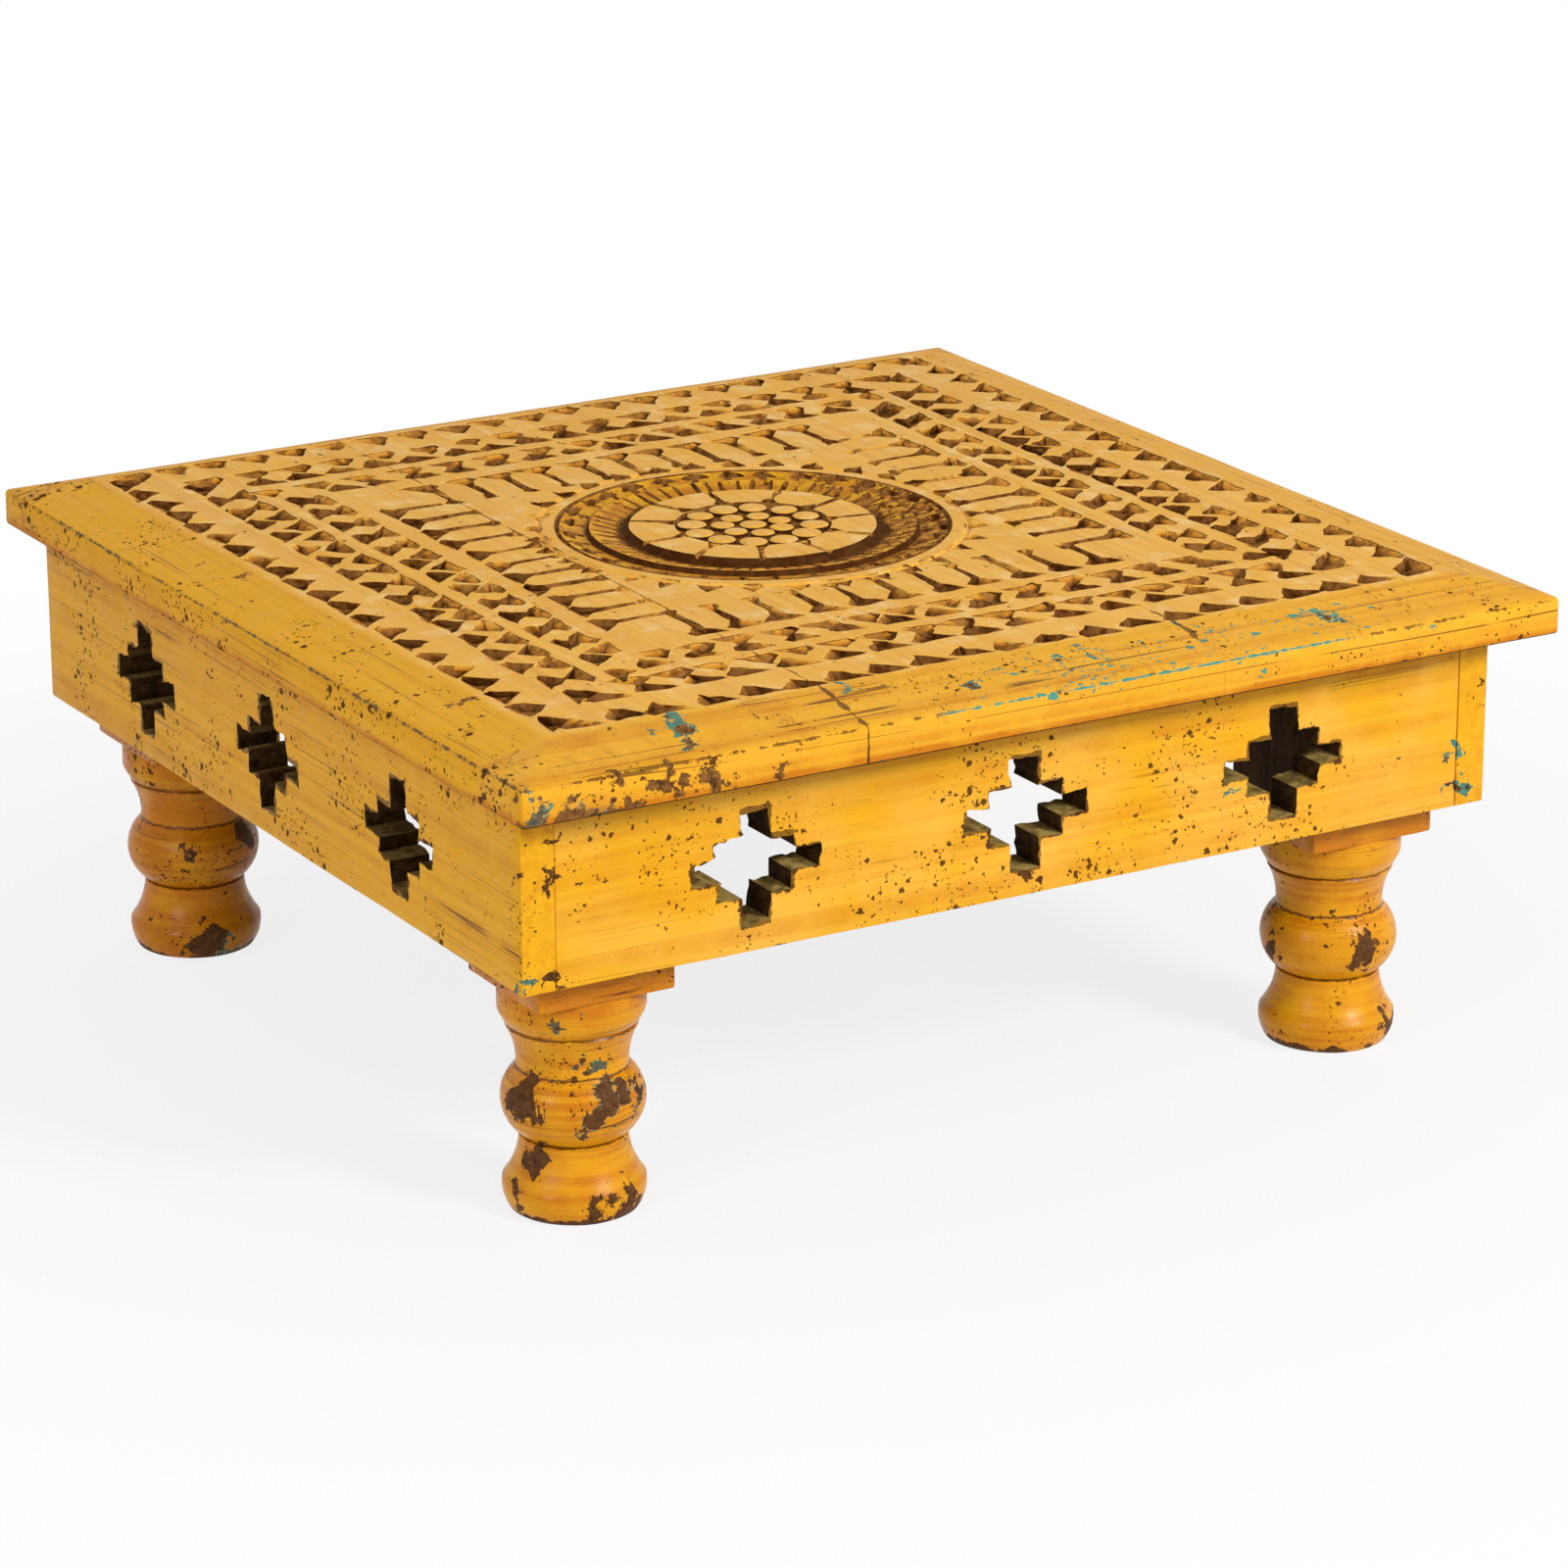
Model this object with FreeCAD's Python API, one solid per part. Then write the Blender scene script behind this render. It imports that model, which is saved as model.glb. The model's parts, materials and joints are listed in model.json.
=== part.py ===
"""Low square table: a carved three-plank top on a nailed board frame with four turned legs."""
import FreeCAD
import Part
import math
import os

Vector = FreeCAD.Vector

# Top, in millimetres
top_width = 450.0
top_depth = 450.0
table_height = 191.5
top_thickness = 20.5
bevel_drop = 6.1
left_plank_width = 140.5
middle_plank_width = 154.5

# Carved field: a square that was laid out a little off the middle of the top
field_side = 396.0
field_shift_x = 1.5
field_shift_y = 5.5

# Frame under the top
board_thickness = 16.5
corner_lap = 3.0
apron_height = 70.0
overhang_left = 9.0
overhang_right = 19.0
overhang_front = 19.0
overhang_back = 19.0

# Stepped cross cut-outs: three rectangles laid across each other
cutouts_per_board = 3
cutout_from_end = 95.5
cutout_rise = 32.5
cutout_tall_width = 12.0
cutout_tall_height = 45.0
cutout_middle_width = 32.0
cutout_middle_height = 22.0
cutout_long_width = 53.0
cutout_long_height = 8.0

# Turned legs with square heads
leg_stock = 56.0
leg_inset = 42.0
head_below_apron = 14.0
foot_rim_radius = 24.6
foot_radius = 26.7
foot_belly_height = 10.0
waist_radius = 20.3
waist_height = 28.0
quirk_depth = 1.0
quirk_height = 1.2
bead_radius = 26.9
bead_height = 26.0
neck_radius = 20.9
neck_height = 3.0
cove_height = 13.0
cove_radius = 24.8
ring_line_depth = 0.7
ring_line_height = 1.6
band_radius = 27.6
band_slope_height = 4.5
flare_share = 0.3

# Outer row of triangular chips
edge_row_inset = 4.5
edge_chip_count = 21
edge_chip_base = 14.0
edge_chip_length = 9.0

# Band of paired chips whose points meet, leaving six-sided pads
pad_band_inset = 27.0
pad_band_width = 20.0
pad_chip_count = 17
pad_chip_base = 14.5
pad_chip_gap = 1.2

# Band of two staggered chip rows, leaving a zigzag ribbon
zigzag_band_inset = 54.0
zigzag_band_width = 16.5
zigzag_chip_count = 14
zigzag_chip_base = 14.5
zigzag_chip_length = 8.4

# Inner square of tongues round the medallion
tongue_square_inset = 79.5
tongues_per_side = 10
tongue_pitch = 17.7
tongue_length = 31.0
tongue_groove_width = 3.4
tongue_groove_depth = 2.2
tongue_foot_base = 12.5
tongue_foot_length = 7.5

# Depth of the triangular chips
chip_depth = 3.0
chip_deepest_share = 0.15

# Medallion: plain ring, petal tier, fluted tier and centre rosette
ring_outer_radius = 84.0
ring_line_width = 1.8
petal_tier_radius = 77.0
flute_tier_radius = 64.4
rosette_radius = 48.6
tier_depth = 3.5
flute_tier_drop = 0.9
tier_wall_run = 0.8
rosette_wall_run = 3.2
petal_count = 32
petal_ripple = 2.4
flute_count = 60
flute_ripple = 1.6
flute_reach = 0.6
outer_petal_count = 11
outer_petal_ring_radius = 31.0
pad_ring_count = 12
pad_ring_radius = 18.5
inner_pad_count = 7
centre_pad_radius = 6.0
rosette_line_width = 2.2
rosette_line_depth = 1.8
spoke_width = 1.9
spoke_depth = 1.3
groove_tip_share = 0.25

# Square cut nails, driven below the surface and filled over
nail_side = 2.2
nail_head_side = 4.4
nail_head_thickness = 1.2
nail_length = 38.0
nail_set_depth = 1.6
top_nail_set_depth = 6.0
corner_nail_edge = 16.0
front_leg_nail_rise = 28.0
side_leg_nail_rise = 46.0
top_nail_from_seam = 12.5
top_nail_from_corner = 42.0
nail_play = 0.08

# Dowels across the two seams of the top
dowel_diameter = 8.0
dowel_length = 44.0
dowel_spacing = 140.0
dowels_per_seam = 3
dowel_rise = 8.4
dowel_play = 0.08

# Cutters stand this share proud of the surface they cut
overcut = 0.12

# Heights and planes that follow from the sizes above
underside_z = table_height - top_thickness
edge_z = table_height - bevel_drop
apron_bottom_z = underside_z - apron_height
head_bottom_z = apron_bottom_z - head_below_apron
cutout_z = apron_bottom_z + cutout_rise

top_left = -top_width / 2
top_right = top_width / 2
top_front = -top_depth / 2
top_back = top_depth / 2
seam_left = top_left + left_plank_width
seam_right = seam_left + middle_plank_width

frame_left = top_left + overhang_left
frame_right = top_right - overhang_right
frame_front = top_front + overhang_front
frame_back = top_back - overhang_back
inner_left = frame_left + board_thickness
inner_right = frame_right - board_thickness
inner_front = frame_front + board_thickness
inner_back = frame_back - board_thickness
joint_left = inner_left - corner_lap
joint_right = inner_right + corner_lap

field_half = field_side / 2
centre = Vector(field_shift_x, field_shift_y, table_height)
up = Vector(0, 0, 1)


def block(first, second):
    """A box between two opposite corners."""
    low = Vector(min(first.x, second.x), min(first.y, second.y), min(first.z, second.z))
    high = Vector(max(first.x, second.x), max(first.y, second.y), max(first.z, second.z))
    size = high - low
    return Part.makeBox(size.x, size.y, size.z, low)


def square_bar(start, direction, side, length):
    """A square bar from the middle of its start face along one of the table's axes."""
    across = Vector(1 - abs(direction.x), 1 - abs(direction.y), 1 - abs(direction.z))
    margin = across * (side / 2)
    return block(start - margin, start + direction * length + margin)


def polyhedron(points, faces):
    """A solid with flat faces, given as loops of point numbers."""
    shells = []
    for loop in faces:
        corners = [points[number] for number in loop]
        shells.append(Part.Face(Part.makePolygon(corners + corners[:1])))
    return Part.Solid(Part.Shell(shells))


# Fasteners
def nail(head, direction, play=0.0):
    """A nail from the middle of its head along its direction, or its hole when play is given."""
    top_of_head = head - direction * play
    head_solid = square_bar(top_of_head, direction, nail_head_side + 2 * play, nail_head_thickness + 2 * play)
    shank = square_bar(top_of_head, direction, nail_side + 2 * play, nail_length + 2 * play)
    return head_solid.fuse(shank).removeSplitter()


def corner_nail_places(side_x, inward):
    """Heads of the nails through one side board into the ends of the front and back boards."""
    places = []
    for y in ((frame_front + inner_front) / 2, (frame_back + inner_back) / 2):
        for z in (apron_bottom_z + corner_nail_edge, underside_z - corner_nail_edge):
            places.append((Vector(side_x, y, z) + inward * nail_set_depth, inward))
    return places


def leg_nail_places(axis, side_x, inward_x, face_y, inward_y):
    """Heads of the two nails that hold one leg head, one through each board of its corner."""
    through_end = Vector(axis.x, face_y, apron_bottom_z + front_leg_nail_rise)
    through_side = Vector(side_x, axis.y, apron_bottom_z + side_leg_nail_rise)
    return [(through_end + inward_y * nail_set_depth, inward_y),
            (through_side + inward_x * nail_set_depth, inward_x)]


def top_nail_places(x_values, y_values):
    """Heads of nails driven down through a plank into the boards below."""
    z = table_height - top_nail_set_depth
    return [(Vector(x, y, z), -up) for x in x_values for y in y_values]


def nail_group(places, play=0.0):
    """Separate nails, or their holes, at the places given."""
    return [nail(head, direction, play) for head, direction in places]


def dowel_group(seam_x, play=0.0):
    """Dowels across one seam of the top."""
    solids = []
    for number in range(dowels_per_seam):
        y = (number - (dowels_per_seam - 1) / 2) * dowel_spacing
        start = Vector(seam_x - dowel_length / 2 - play, y, underside_z + dowel_rise)
        solids.append(Part.makeCylinder(dowel_diameter / 2 + play, dowel_length + 2 * play,
                                        start, Vector(1, 0, 0)))
    return solids


# Carving tools
def chip(base_middle, inward, along, base, length):
    """A three-sided chip: its base lies along one line and its point reaches inward."""
    deepest = base_middle + inward * (length * chip_deepest_share) - up * chip_depth
    rim = [base_middle - along * (base / 2), base_middle + along * (base / 2),
           base_middle + inward * length]
    points = [deepest] + [deepest + (corner - deepest) * (1 + overcut) for corner in rim]
    return polyhedron(points, [(1, 2, 3), (0, 1, 2), (0, 2, 3), (0, 3, 1)])


def groove(start, end, width, depth, tip_share):
    """A straight V-groove that narrows from its start to a share of its size at its end."""
    run = end - start
    across = Vector(-run.y, run.x, 0).normalize()
    points = []
    for place, share in ((start, 1.0), (end, tip_share)):
        bottom = place - up * (depth * share)
        for side in (across, -across):
            rim = place + side * (width / 2 * share)
            points.append(bottom + (rim - bottom) * (1 + overcut))
        points.append(bottom)
    return polyhedron(points, [(0, 1, 2), (3, 5, 4), (0, 2, 5, 3), (1, 4, 5, 2), (0, 3, 4, 1)])


def ring_groove(radius, width, depth):
    """A V-groove round the middle of the medallion."""
    half = width / 2 * (1 + overcut)
    rim_z = depth * overcut
    section = [Vector(radius - half, 0, rim_z), Vector(radius + half, 0, rim_z), Vector(radius, 0, -depth)]
    face = Part.Face(Part.makePolygon(section + section[:1]))
    face.translate(centre)
    return face.revolve(centre, up, 360)


def sides():
    """The four sides of the carved square, each as its inward and along directions."""
    for quarter in range(4):
        angle = math.radians(90 * quarter)
        inward = Vector(-math.sin(angle), math.cos(angle), 0)
        along = Vector(math.cos(angle), math.sin(angle), 0)
        yield inward, along


def edge_row():
    """The single row round the rim of the field."""
    distance = field_half - edge_row_inset
    pitch = (2 * distance - edge_chip_base) / (edge_chip_count - 1)
    tools = []
    for inward, along in sides():
        for number in range(edge_chip_count):
            middle = centre - inward * distance + along * ((number - (edge_chip_count - 1) / 2) * pitch)
            tools.append(chip(middle, inward, along, edge_chip_base, edge_chip_length))
    return tools


def pad_band():
    """Paired chips whose points meet at the middle of the band."""
    outer = field_half - pad_band_inset
    inner = outer - pad_band_width
    length = (pad_band_width - pad_chip_gap) / 2
    tools = []
    pitch = 2 * (inner - pad_chip_base / 2) / (pad_chip_count - 1)
    for inward, along in sides():
        for number in range(pad_chip_count):
            offset = along * ((number - (pad_chip_count - 1) / 2) * pitch)
            tools.append(chip(centre - inward * outer + offset, inward, along, pad_chip_base, length))
            tools.append(chip(centre - inward * inner + offset, -inward, along, pad_chip_base, length))
    return tools


def zigzag_band():
    """Two rows of chips, one half a step along from the other."""
    outer = field_half - zigzag_band_inset
    inner = outer - zigzag_band_width
    tools = []
    pitch = 2 * (inner - zigzag_chip_base / 2) / (zigzag_chip_count - 1)
    for inward, along in sides():
        for number in range(zigzag_chip_count):
            place = (number - (zigzag_chip_count - 1) / 2) * pitch
            tools.append(chip(centre - inward * inner + along * place, -inward, along,
                              zigzag_chip_base, zigzag_chip_length))
            tools.append(chip(centre - inward * outer + along * (place - pitch / 2), inward, along,
                              zigzag_chip_base, zigzag_chip_length))
    return tools


def tongue_square():
    """Grooves that part the tongues, each with a triangular foot on the outer line."""
    outer = field_half - tongue_square_inset
    inner = outer - tongue_length
    tools = []
    for inward, along in sides():
        for number in range(tongues_per_side + 1):
            offset = along * ((number - tongues_per_side / 2) * tongue_pitch)
            foot = centre - inward * outer + offset
            tools.append(chip(foot, inward, along, tongue_foot_base, tongue_foot_length))
            start = foot + inward * tongue_foot_length
            end = centre - inward * inner + offset
            tools.append(groove(start, end, tongue_groove_width, tongue_groove_depth, groove_tip_share))
    return tools


def star(radius, ripple, count, drop):
    """A closed wire of points that go in and out by a ripple, at a depth below the field."""
    points = []
    for number in range(2 * count):
        angle = math.radians(180 * number / count)
        reach = radius - ripple * (number % 2)
        points.append(centre + Vector(reach * math.cos(angle), reach * math.sin(angle), -drop))
    return Part.makePolygon(points + points[:1])


def star_cup(rim_radius, rim_drop, foot_radius, foot_drop, ripple, count):
    """A cup with rippled sides, which narrows from its rim to its foot."""
    foot_ripple = ripple * foot_radius / rim_radius
    return Part.makeLoft([star(rim_radius, ripple, count, rim_drop),
                          star(foot_radius, foot_ripple, count, foot_drop)], True, True)


def cone(foot_radius, foot_drop, rim_radius, rim_drop):
    """A round plug in the middle of the medallion between two depths below the field."""
    foot = centre - up * foot_drop
    return Part.makeCone(foot_radius, rim_radius, foot_drop - rim_drop, foot, up)


def medallion_bowl():
    """The two sunken tiers round the rosette, each falling inward to an upright wall."""
    spare = tier_depth * overcut
    flute_foot_radius = flute_tier_radius + tier_wall_run
    rosette_foot_radius = rosette_radius + rosette_wall_run
    petal_slope = (petal_tier_radius - flute_foot_radius) / tier_depth
    flute_slope = (flute_tier_radius - rosette_foot_radius) / (tier_depth - flute_tier_drop)
    wall_slope = tier_wall_run / (tier_depth - flute_tier_drop)
    rosette_slope = rosette_wall_run / tier_depth
    petals = star_cup(petal_tier_radius + petal_slope * spare, -spare, flute_foot_radius, tier_depth,
                      petal_ripple, petal_count)
    crown = cone(flute_foot_radius + wall_slope * spare, tier_depth + spare,
                 flute_tier_radius, flute_tier_drop)
    flute_rim = flute_tier_radius + flute_reach
    flutes = star_cup(flute_rim + flute_slope * spare, flute_tier_drop - spare,
                      rosette_foot_radius - flute_slope * spare, tier_depth + spare,
                      flute_ripple, flute_count)
    rosette = cone(rosette_foot_radius + rosette_slope * spare, tier_depth + spare,
                   rosette_radius - rosette_slope * 2 * spare, -2 * spare)
    return petals.cut(crown.cut(flutes).fuse(rosette))


def spokes(count):
    """Evenly spaced directions out from the middle of the medallion."""
    for number in range(count):
        angle = math.radians(360 * (number + 0.5) / count)
        yield Vector(math.cos(angle), math.sin(angle), 0)


def spoke_grooves(count, outer, inner):
    """Level V-grooves between two circles of the rosette."""
    return [groove(centre + spoke * outer, centre + spoke * inner, spoke_width, spoke_depth, groove_tip_share)
            for spoke in spokes(count)]


def medallion_tools():
    """Cuts of the medallion: its tiers, the line round its ring, and the rosette's rings and pads."""
    tools = [medallion_bowl(), ring_groove(ring_outer_radius, ring_line_width, rosette_line_depth)]
    for radius in (outer_petal_ring_radius, pad_ring_radius, centre_pad_radius):
        tools.append(ring_groove(radius, rosette_line_width, rosette_line_depth))
    tools += spoke_grooves(outer_petal_count, rosette_radius + rosette_wall_run, outer_petal_ring_radius)
    tools += spoke_grooves(pad_ring_count, outer_petal_ring_radius, pad_ring_radius)
    tools += spoke_grooves(inner_pad_count, pad_ring_radius, centre_pad_radius)
    return tools


def carving_tools():
    """Every cut of the carved field."""
    return edge_row() + pad_band() + zigzag_band() + tongue_square() + medallion_tools()


# Top
def rectangle(left, front, right, back, z):
    """A closed rectangular wire at one height."""
    corners = [Vector(left, front, z), Vector(right, front, z), Vector(right, back, z), Vector(left, back, z)]
    return Part.makePolygon(corners + corners[:1])


def bevelled_slab():
    """The whole top before it is carved: an upright edge, and a bevel that rises to the field."""
    edge = block(Vector(top_left, top_front, underside_z), Vector(top_right, top_back, edge_z))
    rim = rectangle(top_left, top_front, top_right, top_back, edge_z)
    field = rectangle(centre.x - field_half, centre.y - field_half, centre.x + field_half,
                      centre.y + field_half, table_height)
    return edge.fuse(Part.makeLoft([rim, field], True, True)).removeSplitter()


def touches(tool, low_x, high_x):
    """Whether a cutter reaches between two planes across the top."""
    box = tool.BoundBox
    return box.XMax > low_x and box.XMin < high_x


def top_plank(low_x, high_x, slab, tools):
    """One plank of the top, with the cuts that reach it."""
    plank = slab.common(block(Vector(low_x, top_front, underside_z), Vector(high_x, top_back, table_height)))
    return plank.cut([tool for tool in tools if touches(tool, low_x, high_x)])


# Frame
def cutout_outline(middle, along):
    """The stepped cross as a closed wire in an upright plane."""
    steps = [(cutout_tall_width, cutout_tall_height), (cutout_tall_width, cutout_middle_height),
             (cutout_middle_width, cutout_middle_height), (cutout_middle_width, cutout_long_height),
             (cutout_long_width, cutout_long_height)]
    quarter = [(width / 2, height / 2) for width, height in steps]
    right = quarter + [(x, -z) for x, z in reversed(quarter)]
    left = [(-x, -z) for x, z in right]
    points = [middle + along * x + up * z for x, z in right + left]
    return Part.makePolygon(points + points[:1])


def cutouts(start, end):
    """Cut-out solids along a board whose outer face runs between two points."""
    along = (end - start).normalize()
    through = Vector(-along.y, along.x, 0) * board_thickness
    span = (end - start).Length - 2 * cutout_from_end
    solids = []
    for number in range(cutouts_per_board):
        middle = start + along * (cutout_from_end + span * number / (cutouts_per_board - 1))
        outline = cutout_outline(middle, along)
        solids.append(Part.Face(outline).extrude(through))
    return solids


def corner_laps(joint_x, inner_x):
    """Rebates at the two ends of a side board, which take the ends of the front and back boards."""
    return [block(Vector(joint_x, face_y, apron_bottom_z), Vector(inner_x, inner_y, underside_z))
            for face_y, inner_y in ((frame_front, inner_front), (frame_back, inner_back))]


def apron(first, second, start, end, cuts):
    """One frame board between two corners of its plan, with its cut-outs and the other cuts given."""
    board = block(first + up * apron_bottom_z, second + up * underside_z)
    return board.cut(cutouts(start + up * cutout_z, end + up * cutout_z) + cuts)


def frame_boards(holes):
    """The four boards of the frame by side; each outer face is followed with the frame on its left."""
    left_front = Vector(frame_left, frame_front, 0)
    right_front = Vector(frame_right, frame_front, 0)
    right_back = Vector(frame_right, frame_back, 0)
    left_back = Vector(frame_left, frame_back, 0)
    left_laps = corner_laps(joint_left, inner_left)
    right_laps = corner_laps(joint_right, inner_right)
    return {"left": apron(left_front, Vector(inner_left, frame_back, 0),
                          left_back, left_front, left_laps + holes),
            "right": apron(right_back, Vector(inner_right, frame_front, 0),
                           right_front, right_back, right_laps + holes),
            "front": apron(Vector(joint_left, frame_front, 0), Vector(joint_right, inner_front, 0),
                           left_front, right_front, holes),
            "back": apron(Vector(joint_right, frame_back, 0), Vector(joint_left, inner_back, 0),
                          right_back, left_back, holes)}


# Legs
def arc(first, middle, last):
    """An arc through three places of the leg's profile, each a radius and a height."""
    places = [Vector(radius, 0, z) for radius, z in (first, middle, last)]
    return Part.Arc(*places).toShape()


def line(first, last):
    """A straight stretch of the leg's profile."""
    return Part.makeLine(Vector(first[0], 0, first[1]), Vector(last[0], 0, last[1]))


def turned_profile():
    """Half the outline of the turned part, from the floor to the underside of the square head."""
    bead_low = waist_height + quirk_height
    bead_top = bead_low + bead_height
    cove_top = bead_top + neck_height + cove_height
    band_low = cove_top + ring_line_height + band_slope_height
    rim = (foot_rim_radius, 0)
    belly = (foot_radius, foot_belly_height)
    waist = (waist_radius, waist_height)
    quirk = (waist_radius - quirk_depth, waist_height + quirk_height / 2)
    bead_start = (waist_radius, bead_low)
    bead_end = (neck_radius, bead_top)
    neck = (neck_radius, bead_top + neck_height)
    cove_end = (cove_radius, cove_top)
    ring_line = (cove_radius - ring_line_depth, cove_top + ring_line_height / 2)
    slope = (cove_radius, cove_top + ring_line_height)
    band = (band_radius, band_low)
    shoulder = (band_radius, head_bottom_z)
    hollow = (waist_radius + (foot_radius - waist_radius) * flare_share,
              (foot_belly_height + waist_height) / 2)
    cove = (neck_radius + (cove_radius - neck_radius) * flare_share, bead_top + neck_height + cove_height / 2)
    swell = (foot_rim_radius + (foot_radius - foot_rim_radius) * (1 - flare_share), foot_belly_height / 2)
    edges = [line((0, 0), rim), arc(rim, swell, belly), arc(belly, hollow, waist), line(waist, quirk),
             line(quirk, bead_start), arc(bead_start, (bead_radius, (bead_low + bead_top) / 2), bead_end),
             line(bead_end, neck), arc(neck, cove, cove_end), line(cove_end, ring_line),
             line(ring_line, slope), line(slope, band), line(band, shoulder),
             line(shoulder, (0, head_bottom_z)), line((0, head_bottom_z), (0, 0))]
    return Part.Face(Part.Wire(edges))


def board_seats(axis, inward_x, inward_y):
    """Rebates in the outer sides of a leg head, which seat the two boards of its corner."""
    seats = []
    for inward, along in ((inward_x, inward_y), (inward_y, inward_x)):
        outer = axis - inward * leg_inset - along * (leg_stock / 2) + up * apron_bottom_z
        inner = axis + inward * (board_thickness - leg_inset) + along * (leg_stock / 2) + up * underside_z
        seats.append(block(outer, inner))
    return seats


def leg(axis, inward_x, inward_y, holes):
    """One leg: the turned part below a square head that fills the corner of the frame."""
    turned = turned_profile().revolve(Vector(0, 0, 0), up, 360)
    half = leg_stock / 2
    head = block(Vector(-half, -half, head_bottom_z), Vector(half, half, underside_z))
    whole = turned.fuse(head).removeSplitter()
    whole.translate(axis)
    return whole.cut(board_seats(axis, inward_x, inward_y) + holes)


def save(name, shape):
    """Write one node of the table."""
    shape.exportStep("parts/" + name + ".step")


def leg_axes():
    """The four legs by corner, each with the outer faces and inward directions of its boards."""
    corners = {}
    ends = (("front", frame_front, Vector(0, 1, 0)), ("back", frame_back, Vector(0, -1, 0)))
    flanks = (("left", frame_left, Vector(1, 0, 0)), ("right", frame_right, Vector(-1, 0, 0)))
    for end, face_y, inward_y in ends:
        for side, face_x, inward_x in flanks:
            axis = Vector(face_x, face_y, 0) + (inward_x + inward_y) * leg_inset
            corners[end + "_" + side] = (axis, face_x, inward_x, face_y, inward_y)
    return corners


def nail_plan():
    """Every group of nails by name, as heads and directions."""
    plan = {"corner_nails_left": corner_nail_places(frame_left, Vector(1, 0, 0)),
            "corner_nails_right": corner_nail_places(frame_right, Vector(-1, 0, 0))}
    for corner, (axis, face_x, inward_x, face_y, inward_y) in leg_axes().items():
        plan["leg_nails_" + corner] = leg_nail_places(axis, face_x, inward_x, face_y, inward_y)
    end_lines = ((frame_front + inner_front) / 2, (frame_back + inner_back) / 2)
    plan["top_nails_left"] = top_nail_places(
        (inner_left + top_nail_from_corner, seam_left - top_nail_from_seam), end_lines)
    plan["top_nails_middle"] = top_nail_places(
        (seam_left + top_nail_from_seam, seam_right - top_nail_from_seam), end_lines)
    plan["top_nails_right"] = top_nail_places(
        (seam_right + top_nail_from_seam, inner_right - top_nail_from_corner), end_lines)
    return plan


def build():
    """Make every piece and write it out."""
    os.makedirs("parts", exist_ok=True)
    plan = nail_plan()
    holes = {name: nail_group(places, nail_play) for name, places in plan.items()}
    for name, places in plan.items():
        save(name, Part.makeCompound(nail_group(places)))
    save("seam_dowels_left", Part.makeCompound(dowel_group(seam_left)))
    save("seam_dowels_right", Part.makeCompound(dowel_group(seam_right)))

    slab = bevelled_slab()
    tools = carving_tools()
    tools += dowel_group(seam_left, dowel_play) + dowel_group(seam_right, dowel_play)
    for name in ("left", "middle", "right"):
        tools += holes["top_nails_" + name]
    save("top_plank_left", top_plank(top_left, seam_left, slab, tools))
    save("top_plank_middle", top_plank(seam_left, seam_right, slab, tools))
    save("top_plank_right", top_plank(seam_right, top_right, slab, tools))

    all_holes = [hole for group in holes.values() for hole in group]
    for side, board in frame_boards(all_holes).items():
        save("apron_" + side, board)
    for corner, (axis, _, inward_x, _, inward_y) in leg_axes().items():
        save("leg_" + corner, leg(axis, inward_x, inward_y, holes["leg_nails_" + corner]))


build()
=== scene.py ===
"""Low carved table: worn ochre paint on a carved plank top, pierced frame boards and turned legs."""
import json
import math
import random

import bpy
from mathutils import Matrix, Vector

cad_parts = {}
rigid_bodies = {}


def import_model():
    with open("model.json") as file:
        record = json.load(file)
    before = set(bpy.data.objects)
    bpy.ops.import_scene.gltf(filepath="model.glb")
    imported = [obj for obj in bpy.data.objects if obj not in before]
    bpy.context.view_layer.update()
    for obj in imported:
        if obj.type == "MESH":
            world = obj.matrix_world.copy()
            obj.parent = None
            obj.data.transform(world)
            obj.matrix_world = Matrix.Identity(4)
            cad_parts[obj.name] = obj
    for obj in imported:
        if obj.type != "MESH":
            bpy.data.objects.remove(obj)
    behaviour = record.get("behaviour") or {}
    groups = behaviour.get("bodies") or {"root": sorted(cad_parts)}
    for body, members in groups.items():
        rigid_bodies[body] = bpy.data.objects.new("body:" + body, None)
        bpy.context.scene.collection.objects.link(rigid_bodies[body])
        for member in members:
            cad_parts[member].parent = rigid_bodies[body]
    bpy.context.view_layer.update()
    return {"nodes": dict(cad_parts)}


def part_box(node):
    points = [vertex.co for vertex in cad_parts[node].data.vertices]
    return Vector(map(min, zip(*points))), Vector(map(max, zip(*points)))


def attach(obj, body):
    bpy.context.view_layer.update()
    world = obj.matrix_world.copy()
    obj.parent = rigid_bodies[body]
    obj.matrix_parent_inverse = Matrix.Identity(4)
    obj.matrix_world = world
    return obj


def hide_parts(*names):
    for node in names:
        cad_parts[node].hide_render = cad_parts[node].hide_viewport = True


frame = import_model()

bl_info = {
    "name": "Carved low table",
    "version": (1, 0, 0),
    "blender": (4, 5, 0),
    "location": "View3D > Sidebar > Carved table",
    "description": "Builds a low carved table with worn paint round its packed frame",
    "category": "Object",
}

UP = Vector((0, 0, 1))
BODY = "root"

# Places that the frame gives
SLAB_LOW = Vector(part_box("top_plank_left")[0])
SLAB_HIGH = Vector(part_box("top_plank_right")[1])
SEAM_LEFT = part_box("top_plank_left")[1][0]
SEAM_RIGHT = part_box("top_plank_right")[0][0]
APRONS = {"front": 0, "back": 0, "left": 1, "right": 1}
CORNERS = ("front_left", "front_right", "back_left", "back_right")

# Half width and half height of the bars that make a stepped cut-out
CUTOUT_BARS = ((0.006, 0.0225), (0.016, 0.011), (0.0265, 0.004))

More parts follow.
